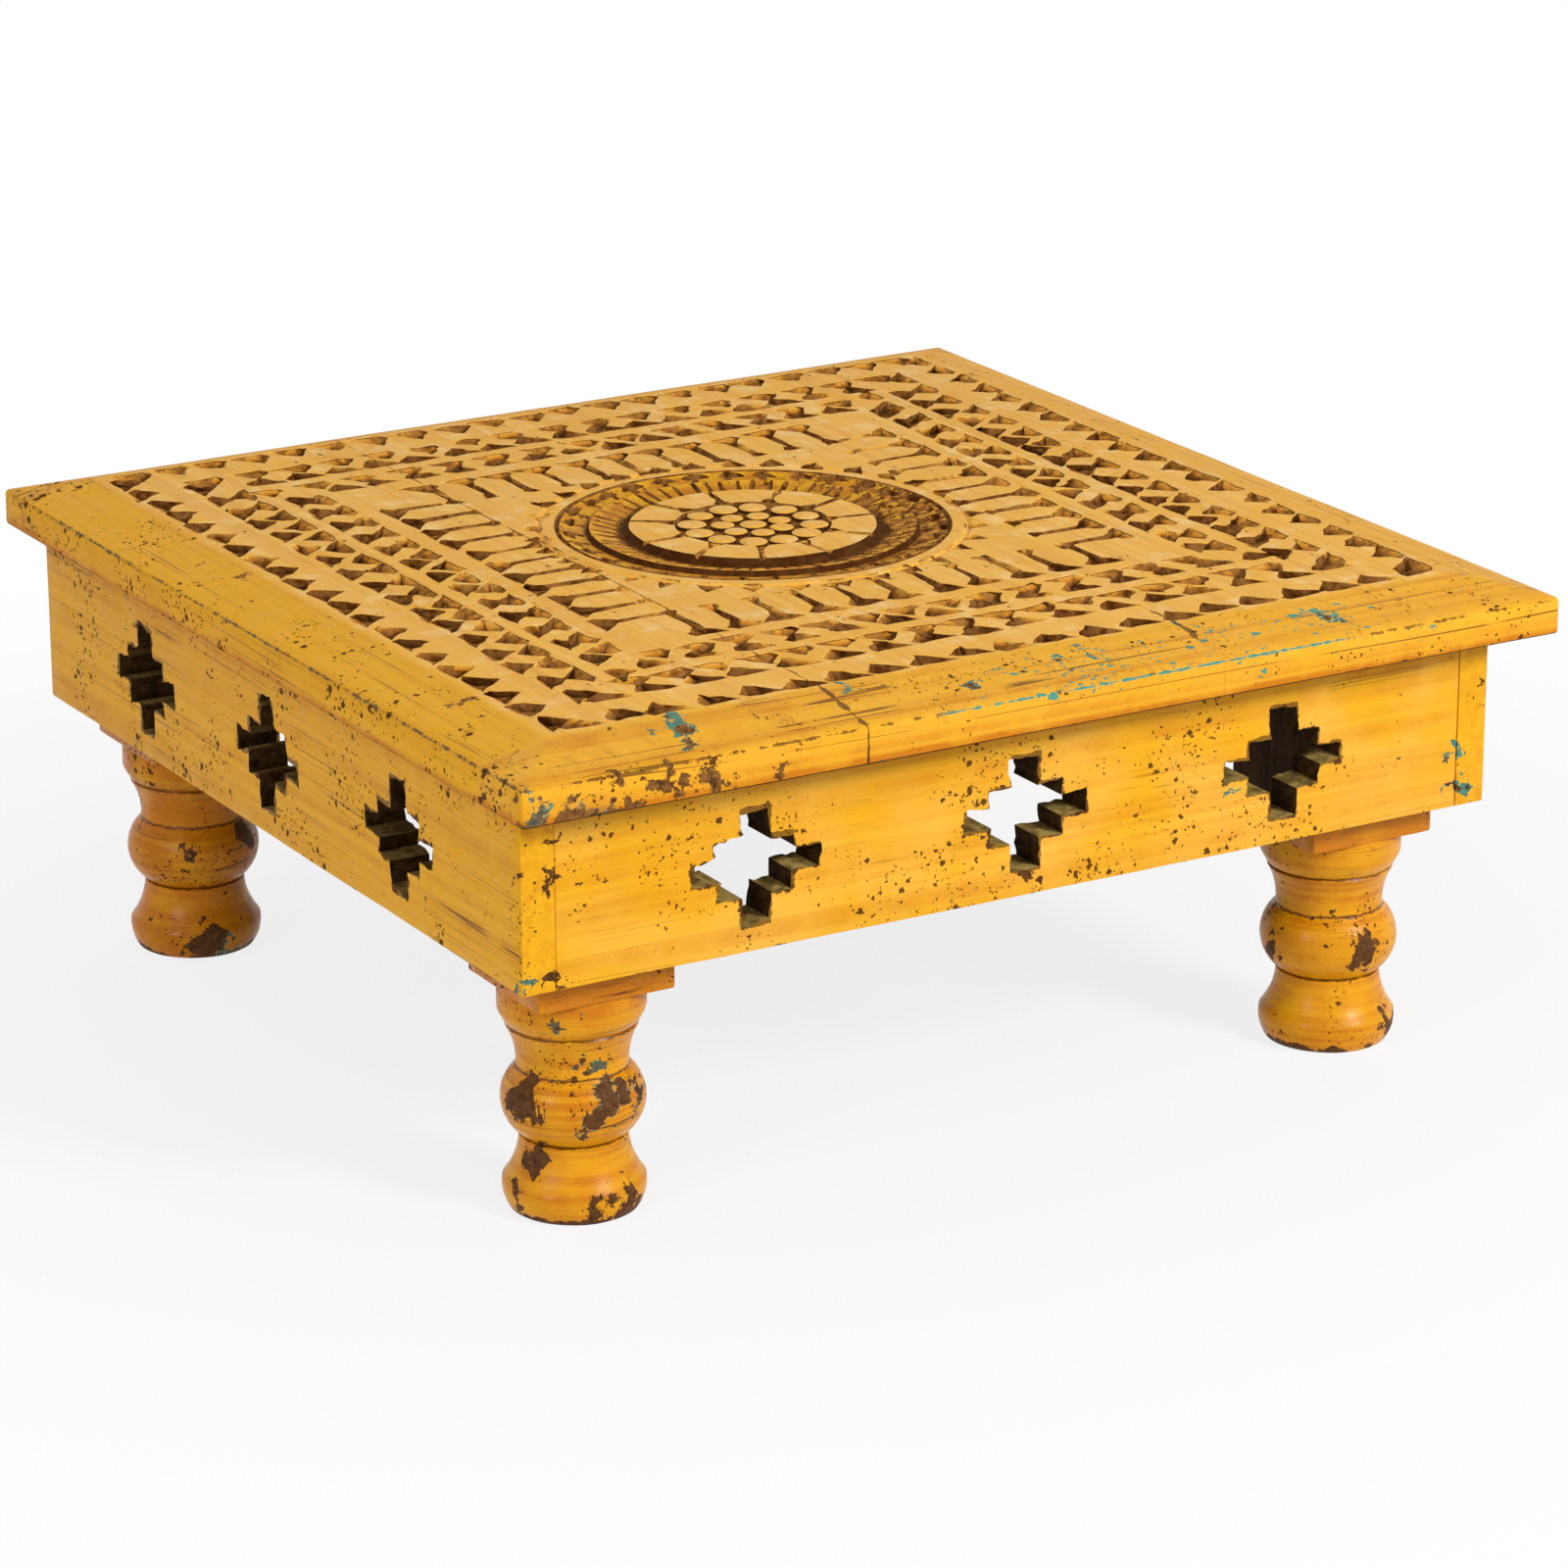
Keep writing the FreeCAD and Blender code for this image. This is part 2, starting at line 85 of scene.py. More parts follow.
# Worn places: middle, reach, how bare they are and how much of the undercoat they show
TOP_WEAR = (
    ((-0.150, -0.201, 0.190), 0.012, 1.5, 1.0), ((-0.159, -0.203, 0.190), 0.007, 1.5, 1.0),
    ((-0.153, -0.214, 0.1875), 0.007, 1.3, 0.6), ((-0.203, -0.189, 0.190), 0.007, 1.2, 0.0),
    ((-0.214, -0.192, 0.188), 0.006, 1.2, 0.0), ((-0.0285, -0.209, 0.188), 0.014, 0.9, 1.0),
    ((0.014, -0.200, 0.190), 0.030, 0.66, 1.0), ((0.070, -0.205, 0.189), 0.034, 0.66, 1.0),
    ((0.123, -0.207, 0.189), 0.026, 0.6, 1.0), ((-0.219, -0.225, 0.175), 0.011, 1.4, 0.2),
    ((-0.203, -0.225, 0.1730), 0.016, 1.15, 0.1), ((-0.186, -0.225, 0.1725), 0.017, 1.25, 0.0),
    ((-0.166, -0.225, 0.1775), 0.011, 1.35, 0.0), ((-0.151, -0.225, 0.1765), 0.013, 1.35, 0.0),
    ((-0.138, -0.225, 0.1725), 0.011, 1.15, 0.0), ((-0.120, -0.225, 0.172), 0.009, 1.1, 0.0),
    ((-0.075, -0.195, 0.191), 0.006, 1.4, 0.7),
    ((-0.204, 0.071, 0.190), 0.006, 1.2, 0.3), ((-0.202, 0.045, 0.190), 0.008, 1.1, 0.3),
    ((-0.199, 0.003, 0.191), 0.020, 0.6, 0.0), ((-0.199, -0.106, 0.191), 0.008, 1.0, 0.0),
    ((-0.202, -0.135, 0.190), 0.008, 1.1, 0.0), ((0.194, -0.209, 0.188), 0.012, 0.7, 0.6),
)
BOARD_WEAR = (
    ((-0.2024, -0.206, 0.141), 0.008, 1.5, 0.0), ((-0.2035, -0.206, 0.108), 0.009, 1.6, 0.0),
    ((-0.2021, -0.206, 0.1555), 0.005, 1.3, 0.0), ((-0.187, -0.206, 0.140), 0.004, 1.5, 0.4),
    ((-0.180, -0.206, 0.1375), 0.004, 1.5, 0.4), ((0.1925, -0.206, 0.1225), 0.006, 1.3, 1.0),
    ((0.1935, -0.206, 0.106), 0.007, 1.1, 1.0), ((0.121, -0.206, 0.102), 0.007, 1.1, 0.8),
    ((0.0885, -0.206, 0.1285), 0.007, 1.3, 1.0), ((-0.216, -0.205, 0.143), 0.006, 1.4, 0.0),
    ((-0.216, -0.206, 0.105), 0.008, 1.3, 0.8), ((-0.216, 0.0505, 0.1515), 0.005, 1.5, 0.0),
    ((-0.216, -0.074, 0.1435), 0.018, 0.62, 0.0), ((-0.1435, -0.206, 0.128), 0.007, 1.2, 0.0),
    ((-0.121, -0.206, 0.110), 0.008, 1.2, 0.0), ((-0.006, -0.206, 0.110), 0.009, 1.3, 0.0),
)
LEG_WEAR = (
    ((-0.200, -0.170, 0.049), 0.012, 2.0, 0.0), ((-0.197, -0.1775, 0.046), 0.008, 1.6, 0.0),
    ((-0.172, -0.191, 0.047), 0.012, 2.0, 0.0), ((-0.160, -0.186, 0.046), 0.010, 1.9, 0.0),
    ((-0.179, -0.1885, 0.042), 0.009, 1.9, 0.0), ((-0.1765, -0.186, 0.062), 0.008, 1.8, 0.3),
    ((-0.196, -0.174, 0.0225), 0.008, 2.0, 0.0), ((-0.165, -0.1885, 0.005), 0.012, 1.9, 0.0),
    ((-0.178, -0.189, 0.006), 0.010, 1.6, 0.0), ((-0.200, -0.166, 0.008), 0.009, 1.3, 0.0),
    ((-0.191, -0.186, 0.082), 0.007, 1.4, 0.3), ((0.1635, -0.191, 0.0445), 0.011, 1.9, 0.0),
    ((0.162, -0.190, 0.0405), 0.009, 1.7, 0.0), ((0.180, -0.1835, 0.006), 0.013, 1.9, 0.0),
    ((0.1375, -0.165, 0.0395), 0.008, 1.6, 0.0), ((-0.1795, 0.1385, 0.006), 0.013, 1.7, 0.0),
    ((-0.158, 0.143, 0.0495), 0.011, 1.7, 0.0), ((-0.1875, 0.141, 0.048), 0.005, 1.7, 0.0),
)

# Heights of the fine grooves in a leg
LEG_CREASES = (0.0287, 0.0551, 0.0718)

# Rings of pads in the rosette: radius of the ring, number, and breadth and reach of a pad
ROSETTE_PADS = ((0.0, 1, 0.0110, 0.0110), (0.0121, 7, 0.0096, 0.0094), (0.0243, 12, 0.0115, 0.0114))

# The wear at which paint starts to flake
PAINT_HOLD = 0.86

# How the front and back boards, and then the side boards, look: the stretch and amount of the grain,
# shares of its lines and cracks, the share of faded paint, and the number and radius of specks
BOARD_LOOKS = (
    {"grain": (7, 700, 700), "amount": 0.7, "lines": 0.7, "cracks": 0.5, "faded": 0.65, "cells": 340.0,
     "speck": 0.54},
    {"grain": (1000, 7, 1000), "amount": 1.0, "lines": 0.9, "cracks": 0.9, "faded": 0.1, "cells": 300.0,
     "speck": 0.55},
)

# How much further the saw strayed in the side boards
SIDE_SAW = 1.5

# How far the paint of the legs is stained, and how deep the tone of the leg that stands in the table's shade
# is: its extra depth is painted shade
LEG_STAIN = 0.5
SHADED_LEG = "back_left"
SHADED_LEG_STAIN_AND_SHADE = 0.9

# Lamps: name, place, the point it faces, size and power
LAMPS = (
    ("key", (0.85, -2.15, 1.5), (0, 0, 0.12), 0.55, 43),
    ("fill", (-2.2, -0.9, 1.0), (0, 0, 0.1), 0.6, 11),
)
WORLD_LIGHT = 0.46
WHITE = (1, 1, 1, 1)
FLOOR_GREY = (0.86, 0.86, 0.86, 1)
FLOOR_SIDE = 30
FLOOR_HEIGHT = -0.0005
SENSOR_WIDTH = 36

# Places nearer than this are one
SAME_PLACE = 0.00001

# Finishes of a cut piece, by slot
FIELD = 0
RECESS = 1
TIERS = 2
SAWN = 1


def shade(red, green, blue):
    """A colour given as it looks on a screen, 0 to 255, as the linear value a shader takes."""
    return tuple((part / 255 / 12.92) if part < 11 else ((part / 255 + 0.055) / 1.055) ** 2.4
                 for part in (red, green, blue))


def length(name, text, default):
    """A size in metres for the sidebar."""
    return bpy.props.FloatProperty(name=name, description=text, default=default, unit="LENGTH", precision=4)


def colour(name, text, default):
    """A colour for the sidebar."""
    return bpy.props.FloatVectorProperty(name=name, description=text, default=default, subtype="COLOR",
                                         size=3, min=0, max=1)


def count(name, text, default):
    """A whole number for the sidebar."""
    return bpy.props.IntProperty(name=name, description=text, default=default, min=1)


def figure(name, text, default):
    """A plain figure for the sidebar."""
    return bpy.props.FloatProperty(name=name, description=text, default=default)


class TopSettings(bpy.types.PropertyGroup):
    """Sizes of the carved top."""
    bevel_drop: length("Bevel drop", "Fall from the carved field to the upright edge", 0.0061)
    field_side: length("Field side", "Side of the flat carved square", 0.396)
    field_shift_x: length("Field shift X", "How far the carved square lies right of the middle", 0.0015)
    field_shift_y: length("Field shift Y", "How far the carved square lies behind the middle", 0.0055)
    ridge_round: length("Ridge rounding", "Rounding where the bevel meets the field", 0.004)
    arris_round: length("Arris rounding", "Rounding of the outer edges", 0.0016)
    seam_gap: length("Seam gap", "Opening of the left seam", 0.0003)
    tight_gap: length("Tight gap", "Opening of the right seam", 0.00004)
    wave_height: length("Wave height", "Unevenness left by the hand plane", 0.0004)
    grid_step: length("Grid step", "Spacing of the mesh under the unevenness", 0.0075)
    chip_depth: length("Chip depth", "Depth of the triangular chips", 0.0038)
    knife_wander: figure("Knife wander", "How far the knife strayed, as a share of a chip", 0.027)
    line_wander: length("Line wander", "How far the long cuts stray from a straight line", 0.0020)
    chip_wander: length("Chip wander", "How ragged the walls of the chips are", 0.0014)
    groove_depth: length("Groove depth", "Depth of the lines between tongues and pads", 0.0026)
    edge_chips: count("Edge chips", "Chips in the outer row, on each side", 21)
    pad_chips: count("Pad chips", "Chip pairs in the band of pads, on each side", 17)
    zigzag_chips: count("Zigzag chips", "Chips in each row of the zigzag band, on each side", 14)
    tongues: count("Tongues", "Tongues on each side of the inner square", 10)
    petals: count("Petals", "Petals of the outer tier of the medallion", 32)
    flutes: count("Flutes", "Flutes of the inner tier of the medallion", 60)
    seed: count("Seed", "Number that settles the unevenness of the carving", 11)


class FrameSettings(bpy.types.PropertyGroup):
    """Sizes of the frame boards."""
    arris_round: length("Arris rounding", "Rounding of the board edges", 0.0011)
    wave_height: length("Wave height", "Unevenness of the board faces", 0.0005)
    grid_step: length("Grid step", "Spacing of the mesh under the unevenness", 0.009)
    cutout_from_end: length("Cut-out from end", "From the corner of the frame to the first cut-out", 0.0955)
    cutout_rise: length("Cut-out rise", "Middle of the cut-outs above the lower edge", 0.0325)
    saw_wander: length("Saw wander", "How far the saw strayed from the marked line", 0.0008)
    seed: count("Seed", "Number that settles the unevenness of the cut-outs", 5)


class LegSettings(bpy.types.PropertyGroup):
    """Sizes of the turned legs."""
    turning_steps: count("Turning steps", "Flats round the turned part", 96)
    head_round: length("Head rounding", "Rounding of the edges of the square head", 0.0012)
    head_below_board: length("Head below board", "How far the square head shows below the boards", 0.014)
    wave_height: length("Wave height", "Unevenness left by the turning tool", 0.0005)


class PaintSettings(bpy.types.PropertyGroup):
    """Colours of the worn finish."""
    ochre: colour("Ochre", "Main coat of paint", shade(240, 174, 22))
    ochre_deep: colour("Deep ochre", "Paint stained by old wax", shade(205, 122, 12))
    # On the field the rubbed ochre also stands for painted sheen, and the chalky ochre for painted highlights
    # on the pads
    rubbed: colour("Rubbed ochre", "Paler paint of the carved field", shade(248, 189, 82))
    chalky_and_highlight: colour("Chalky ochre", "Palest paint, rubbed thin", shade(255, 214, 138))
    stain: colour("Stain", "Brown in the grain", shade(120, 66, 22))
    undercoat: colour("Undercoat", "Teal coat below the ochre", shade(78, 148, 130))
    bare_wood: colour("Bare wood", "Brown wood where paint has flaked", shade(114, 74, 32))
    # The dirt colour also paints shade: on the steep walls of the carving and in the line under the top
    dirt_and_shade: colour("Dirt", "Dark dirt in nicks and round flakes", shade(70, 36, 9))
    cut_dark: colour("Cut, dark", "Dirt in the carving", shade(98, 52, 8))
    cut_light: colour("Cut, light", "Worn wood in the carving", shade(164, 112, 54))
    # The wood inside is kept very dark: unpainted wood, and painted shade inside the frame
    inside_dark_and_shade: colour("Inside, dark", "Dark parts of the unpainted wood", shade(38, 21, 6))
    inside_light: colour("Inside, light", "Light parts of the unpainted wood", shade(84, 58, 28))
    # The ledge colour is old paint and dust, and also painted light on the faces that look up
    ledge: colour("Ledge", "Old paint and dust in the cut-outs", shade(206, 172, 96))


# Mesh tools
def fresh():
    """Leave edit mode and deselect everything, so that the next step acts on one piece alone."""
    if bpy.context.object and bpy.context.object.mode != "OBJECT":
        bpy.ops.object.mode_set(mode="OBJECT")
    bpy.ops.object.select_all(action="DESELECT")


def pick(piece):
    """Make one piece the only one selected."""
    fresh()
    piece.select_set(True)
    bpy.context.view_layer.objects.active = piece


def edit(piece, kind="FACE", test=None):
    """Go into edit mode with the faces, edges or all of a piece selected that pass a test."""
    pick(piece)
    mesh = piece.data
    bpy.context.tool_settings.mesh_select_mode = (kind == "VERT", kind == "EDGE", kind == "FACE")
    for group in (mesh.vertices, mesh.edges, mesh.polygons):
        group.foreach_set("select", [test is None] * len(group))
    if test:
        items = {"VERT": mesh.vertices, "EDGE": mesh.edges, "FACE": mesh.polygons}[kind]
        for item in items:
            item.select = test(item)
    bpy.ops.object.mode_set(mode="EDIT")


def add_box(name, low, high):
    """A box between two corners, with its place in its mesh."""
    fresh()
    bpy.ops.mesh.primitive_cube_add(size=1, location=(low + high) / 2)
    piece = bpy.context.object
    piece.name = name
    piece.scale = high - low
    bpy.ops.object.transform_apply(location=True, rotation=True, scale=True)
    return piece


def add_loop(name, points, fill="NOTHING"):
    """A closed loop of edges through the points, filled or open."""
    fresh()
    bpy.ops.mesh.primitive_circle_add(vertices=len(points), fill_type=fill)
    piece = bpy.context.object
    piece.name = name
    for vertex, point in zip(piece.data.vertices, points):
        vertex.co = point
    return piece


def copy_of(piece, name):
    """A copy with its own mesh."""
    twin = bpy.data.objects.new(name, piece.data.copy())
    bpy.context.collection.objects.link(twin)
    return twin


def joined(name, pieces):
    """Several pieces as one mesh."""
    fresh()
    for piece in pieces:
        piece.select_set(True)
    bpy.context.view_layer.objects.active = pieces[0]
    bpy.ops.object.join()
    bpy.context.object.name = name
    return bpy.context.object


def discard(piece):
    """Remove a cutter once it has been used."""
    mesh = piece.data
    bpy.data.objects.remove(piece)
    bpy.data.meshes.remove(mesh)


def apply(piece, modifier):
    """Make a modifier's result the piece's own mesh."""
    pick(piece)
    bpy.ops.object.modifier_apply(modifier=modifier.name)


def cut(piece, cutter, operation="DIFFERENCE"):
    """Cut one mesh out of another, or join the two into one skin."""
    modifier = piece.modifiers.new("cut", "BOOLEAN")
    modifier.operation = operation
    modifier.solver = "MANIFOLD"
    modifier.object = cutter
    apply(piece, modifier)


def waves(piece, height, size):
    """Uneven a surface softly, as hand tools leave it."""
    texture = bpy.data.textures.new(piece.name + "_waves", "CLOUDS")
    texture.noise_scale = size
    texture.noise_depth = 2
    modifier = piece.modifiers.new("waves", "DISPLACE")
    modifier.texture = texture
    modifier.texture_coords = "LOCAL"
    modifier.strength = height
    modifier.mid_level = 0.5
    apply(piece, modifier)


def slice_grid(piece, low, high, step, axes):
    """Part the faces of a piece by evenly spaced planes across the axes named."""
    edit(piece)
    for axis in axes:
        normal = Vector((0, 0, 0))
        normal[axis] = 1
        cuts = max(1, round((high[axis] - low[axis]) / step))
        for number in range(1, cuts):
            place = Vector(low)
            place[axis] += (high[axis] - low[axis]) * number / cuts
            bpy.ops.mesh.select_all(action="SELECT")
            bpy.ops.mesh.bisect(plane_co=place, plane_no=normal)
    bpy.ops.object.mode_set(mode="OBJECT")


def round_edges(piece, width, segments, test=None):
    """Round the edges that pass a test."""
    edit(piece, "EDGE", test)
    bpy.ops.mesh.bevel(offset=width, segments=segments, profile=0.5, affect="EDGES")
    bpy.ops.object.mode_set(mode="OBJECT")


def edges_above(piece, height):
    """A test for the edges of a piece that lie above a height."""
    vertices = piece.data.vertices
    return lambda edge: all(vertices[index].co.z > height for index in edge.vertices)


def edges_below(piece, height):
    """A test for the edges of a piece that lie below a height."""
    vertices = piece.data.vertices
    return lambda edge: all(vertices[index].co.z < height for index in edge.vertices)


def spun(piece, centre, steps):
    """Turn a closed outline round an upright axis into a solid."""
    edit(piece, "VERT")
    bpy.ops.mesh.spin(steps=steps, angle=2 * math.pi, center=centre, axis=UP)
    bpy.ops.mesh.select_all(action="SELECT")
    bpy.ops.mesh.remove_doubles(threshold=SAME_PLACE)
    bpy.ops.mesh.normals_make_consistent(inside=False)
    bpy.ops.object.mode_set(mode="OBJECT")
    return piece


def smooth(piece, degrees):
    """Smooth shading that keeps edges sharper than an angle."""
    pick(piece)
    bpy.ops.object.shade_smooth_by_angle(angle=math.radians(degrees))


def paint_slots(piece, materials, slot=0):
    """Give a piece its finishes and put one of them all over it."""
    piece.data.materials.clear()
    for material in materials:
        piece.data.materials.append(material)
    piece.data.polygons.foreach_set("material_index", [slot] * len(piece.data.polygons))


def seat(piece, node):
    """Let a finished piece stand for a node of the frame."""
    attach(piece, BODY)
    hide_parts(node)


# Carving
class Carver:
    """Lays out the cuts of the field with the unevenness of a hand.

    Cuts of one layer never overlap, so that each layer is one clean cutter.
    """
    STRAIGHT = 0.0
    ARCHED = 0.16

    # A unit chip: its middle from the base, and the share of the outline and the height of its top and lip
    CHIP_MIDDLE = 0.3
    CHIP_TOP = (1.10, 0.16)
    CHIP_LIP = (0.965, -0.05)

    # How far the hand strays: shares of a cut's width, reach, depth and lean, then its place
    WIDTH_STRAY = (0.9, 1.06)
    REACH_STRAY = (0.9, 1.08)
    DEPTH_STRAY = (0.85, 1.15)
    LEAN_STRAY = 0.24
    PLACE_STRAY = 0.0006

    # How much more the outline of a chip strays along its reach than across it
    LENGTHWISE = 1.4

    # Size of the raggedness along a cut, and the cuts that split a long one to follow it
    RAGGED_SIZE = 0.0045
    LINE_SPLITS = 3

    def __init__(self, top, slots):
        self.top = top
        self.slots = slots
        self.dice = random.Random(top.seed)
        self.half = top.field_side / 2
        self.centre = Vector((top.field_shift_x, top.field_shift_y, SLAB_HIGH.z))
        self.chip_shapes = {arch: self.chip_prototype(arch) for arch in (self.STRAIGHT, self.ARCHED)}
        self.groove_shape = self.groove_prototype()
        self.layers = {}

    def chip_prototype(self, arch):
        """A unit chip: its floor slopes from the base down to the feet of two steep walls."""
        drops = [0.14, 0.75, 1.0, 0.95]
        right = [(0.5, 0)] + [(0.5 - reach / 2 + arch, reach + arch) for reach in (0.25, 0.5, 0.75)]
        left = [(-across, reach) for across, reach in reversed(right)]
        rim = [(-0.25, -0.03), (0, -0.04), (0.25, -0.03)] + right + [(0, 1)] + left
        feet = [(0.93, 0.13)] * 3 + [(0.8, drop) for drop in drops] + [(0.8, 0.7)]
        feet += [(0.8, drop) for drop in reversed(drops)]
        fresh()
        bpy.ops.mesh.primitive_cylinder_add(vertices=len(rim), end_fill_type="TRIFAN")
        shape = bpy.context.object
        upper = [vertex.index for vertex in shape.data.vertices
                 if vertex.co.xy.length > 0.5 and vertex.co.z > 0]
        edit(shape, "FACE", lambda face: face.normal.z < -0.5)
        bpy.ops.mesh.extrude_region_move(TRANSFORM_OT_translate={"value": (0, 0, -1)})
        fresh()
        middle = Vector((0, self.CHIP_MIDDLE, 0))
        places = [[middle + (Vector(point + (0,)) - middle) * share + UP * height for point in rim]
                  for share, height in (self.CHIP_TOP, self.CHIP_LIP)]
        places.append([middle + (Vector(point + (0,)) - middle) * share - UP * drop
                       for point, (share, drop) in zip(rim, feet)])
        spots = [shape.data.vertices[index].co.xy.copy() for index in upper]
        for vertex in shape.data.vertices:
            ring = 0 if vertex.co.z > 0 else 1 if vertex.co.z > -1.5 else 2
            if vertex.co.xy.length > 0.5:
                nearest = min(range(len(spots)), key=lambda number: (spots[number] - vertex.co.xy).length)
                vertex.co = places[ring][nearest]
            else:
                vertex.co = (0, 0.36, (0.16, 0, -0.66)[ring])
        self.dressed(shape, FIELD)
        for face in shape.data.polygons:
            if face.center.z < -0.06:
                face.material_index = RECESS
        return shape

    def groove_prototype(self):
        """A V-groove one unit wide, long and deep, a little narrower at its far end."""
        fresh()
        bpy.ops.mesh.primitive_cylinder_add(vertices=3)
        shape = bpy.context.object
        near = [index for index, vertex in enumerate(shape.data.vertices) if vertex.co.z < 0]
        far = [index for index, vertex in enumerate(shape.data.vertices) if vertex.co.z > 0]
        section = [(-0.7, 0.4), (0.7, 0.4), (0, -1)]
        for ring, place, share in ((near, 0.0, 1.0), (far, 1.0, 0.7)):
            for index, (x, z) in zip(ring, section):
                shape.data.vertices[index].co = (x * share, place, z * share)
        return self.dressed(shape, RECESS)

    def dressed(self, shape, slot):
        """Turn a cutter's faces outward and give them the finish its cut will show."""
        edit(shape)
        bpy.ops.mesh.normals_make_consistent(inside=False)
        fresh()
        paint_slots(shape, self.slots, slot)
        return shape

    def sides(self):
        """The four sides of the square: a number, and the inward and along directions."""
        for quarter in range(4):
            turn = math.radians(90 * quarter)
            inward = Vector((-math.sin(turn), math.cos(turn), 0))
            along = Vector((math.cos(turn), math.sin(turn), 0))
            yield quarter, inward, along

    def spokes(self, number, shift=0.0):
        """Directions from the middle of the medallion, with their numbers."""
        for step in range(number):
            angle = 2 * math.pi * (step + shift) / number + self.dice.gauss(0, 0.12 / number)
            yield step, Vector((math.cos(angle), math.sin(angle), 0))

    def add(self, layer, shape, place, across, forward, size, wander=0.05, uneven=0.0):
        """One cut of a layer; its size is its width, reach and depth."""
        dice = self.dice
        above = across.cross(forward)
        turn = Matrix.Rotation(dice.gauss(0, wander), 3, above)
        width, reach, depth = size
        lean = across * width * dice.uniform(-self.LEAN_STRAY, self.LEAN_STRAY)
        columns = (turn @ across * width * dice.uniform(*self.WIDTH_STRAY),
                   turn @ forward * reach * dice.uniform(*self.REACH_STRAY),
                   above * depth * dice.uniform(*self.DEPTH_STRAY) + lean)
        matrix = Matrix(columns).transposed().to_4x4()
        shift = Vector((dice.gauss(0, self.PLACE_STRAY), dice.gauss(0, self.PLACE_STRAY), 0))
        matrix.translation = place + shift
        twin = copy_of(shape, "cut")
        strays = {}
        for vertex in twin.data.vertices:
            spoke = round(math.atan2(vertex.co.y - self.CHIP_MIDDLE, vertex.co.x), 1)
            drift = Vector((dice.gauss(0, uneven), dice.gauss(0, uneven * self.LENGTHWISE), 0))
            vertex.co += strays.setdefault(spoke, drift)
        twin.data.transform(matrix)
        self.layers.setdefault(layer, []).append(twin)

    def chip(self, layer, place, along, base, reach, depth=None, arch=STRAIGHT):
        """One triangular chip, its point to the left of the direction along its base."""
        size = (base, reach, depth or self.top.chip_depth)
        forward = UP.cross(along)
        self.add(layer, self.chip_shapes[arch], place, along, forward, size, uneven=self.top.knife_wander)

    def groove(self, layer, start, end, width, depth, wander=0.02):
        """One straight V-groove."""
        run = end - start
        across = run.cross(UP).normalized()
        size = (width, run.length, depth)
        self.add(layer, self.groove_shape, start, across, run.normalized(), size, wander)

    def chip_row(self, name, distance, number, reach, base, inner=False, shift=0.0):
        """A row of chips along each side, at a distance from the middle, pointing in or out."""
        pitch = 2 * (distance - base / 2) / (number - 1)
        for quarter, inward, along in self.sides():
            for step in range(number):
                place = self.centre - inward * distance + along * ((step - (number - 1) / 2 + shift) * pitch)
                layer = (name, step % 2, quarter % 2)
                self.chip(layer, place, -along if inner else along, base, reach)

    def edge_row(self, inset=0.0040, base=0.0226, reach=0.0128):
        """The single row round the rim of the field."""
        self.chip_row("outer", self.half - inset, self.top.edge_chips, reach, base)

    def pad_band(self, inset=0.027, breadth=0.020, base=0.0220):
        """Paired chips whose points meet, leaving six-sided pads."""
        outer = self.half - inset
        reach = breadth * 0.6
        self.chip_row("outer", outer, self.top.pad_chips, reach, base)
        self.chip_row("inner", outer - breadth, self.top.pad_chips, reach, base, inner=True)

    def zigzag_band(self, inset=0.054, breadth=0.0165, base=0.0204, reach=0.0122):
        """Two staggered rows of chips, leaving a zigzag ribbon."""
        outer = self.half - inset
        self.chip_row("outer", outer, self.top.zigzag_chips, reach, base, shift=0.5)
        self.chip_row("inner", outer - breadth, self.top.zigzag_chips, reach, base, inner=True)

    def tongue_square(self, inset=0.0795, pitch=0.0177, run=0.031, foot=0.0206, foot_reach=0.0118,
                      line_widths=(0.0034, 0.0056), line_inset=0.003, tip=0.0100, tip_reach=0.008,
                      tip_depth=0.002, tip_gap=0.0015):
        """Grooves between the tongues, each with a chip at both ends."""
        outer = self.half - inset
        for quarter, inward, along in self.sides():
            for step in range(self.top.tongues + 1):
                start = self.centre - inward * outer + along * ((step - self.top.tongues / 2) * pitch)
                end = start + inward * run
                width = self.dice.uniform(*line_widths)
                self.chip(("feet", step % 2, quarter % 2), start, along, foot, foot_reach)
                line_start = start + inward * line_inset
                self.groove(("tongue lines", quarter % 2), line_start, end, width, self.top.groove_depth)
                tip_place = end + inward * tip_gap
                self.chip(("tongue ends", quarter % 2), tip_place, -along, tip, tip_reach, tip_depth)

    def ring_chips(self, radius=0.0838, number=33, base=0.0132, reach=0.0110, depth=0.0022):
        """Chips that stand on the plain ring and point away from the medallion."""
        for step, spoke in self.spokes(number):
            place = self.centre + spoke * radius
            self.chip(("ring chips", step % 3), place, spoke.cross(UP), base, reach, depth)

    def tier_cuts(self, name, number, outer, outer_drop, inner, inner_drop, width, depth, wander=0.04):
        """Radial grooves down a sloping tier."""
        for step, spoke in self.spokes(number):
            start = self.centre + spoke * outer - UP * outer_drop
            end = self.centre + spoke * inner - UP * inner_drop
            self.groove((name, step % 2), end, start, width, depth, wander)

    def scallops(self, number, radius, base, reach, depth):
        """Chips that leave the inner edge of the plain ring scalloped."""
        for step, spoke in self.spokes(number):
            place = self.centre + spoke * radius
            self.chip(("scallops", step % 2), place, spoke.cross(UP), base, reach, depth, self.ARCHED)

    def rosette(self, edge, radius, petals, width=0.0034, depth=0.0016, wander=0.08, foot=0.0090,
                foot_reach=0.0075, foot_depth=0.0021):
        """Lines between the large petals of the rosette, each with a chip at its inner end."""
        for _, spoke in self.spokes(petals, 0.5):
            outer = self.centre + spoke * (edge + 0.002)
            inner = self.centre + spoke * radius
            self.groove(("spoke lines",), outer, inner, width, depth, wander)
            place = self.centre + spoke * (radius - 0.0008)
            self.chip(("petal feet",), place, spoke.cross(UP), foot, foot_reach, foot_depth)

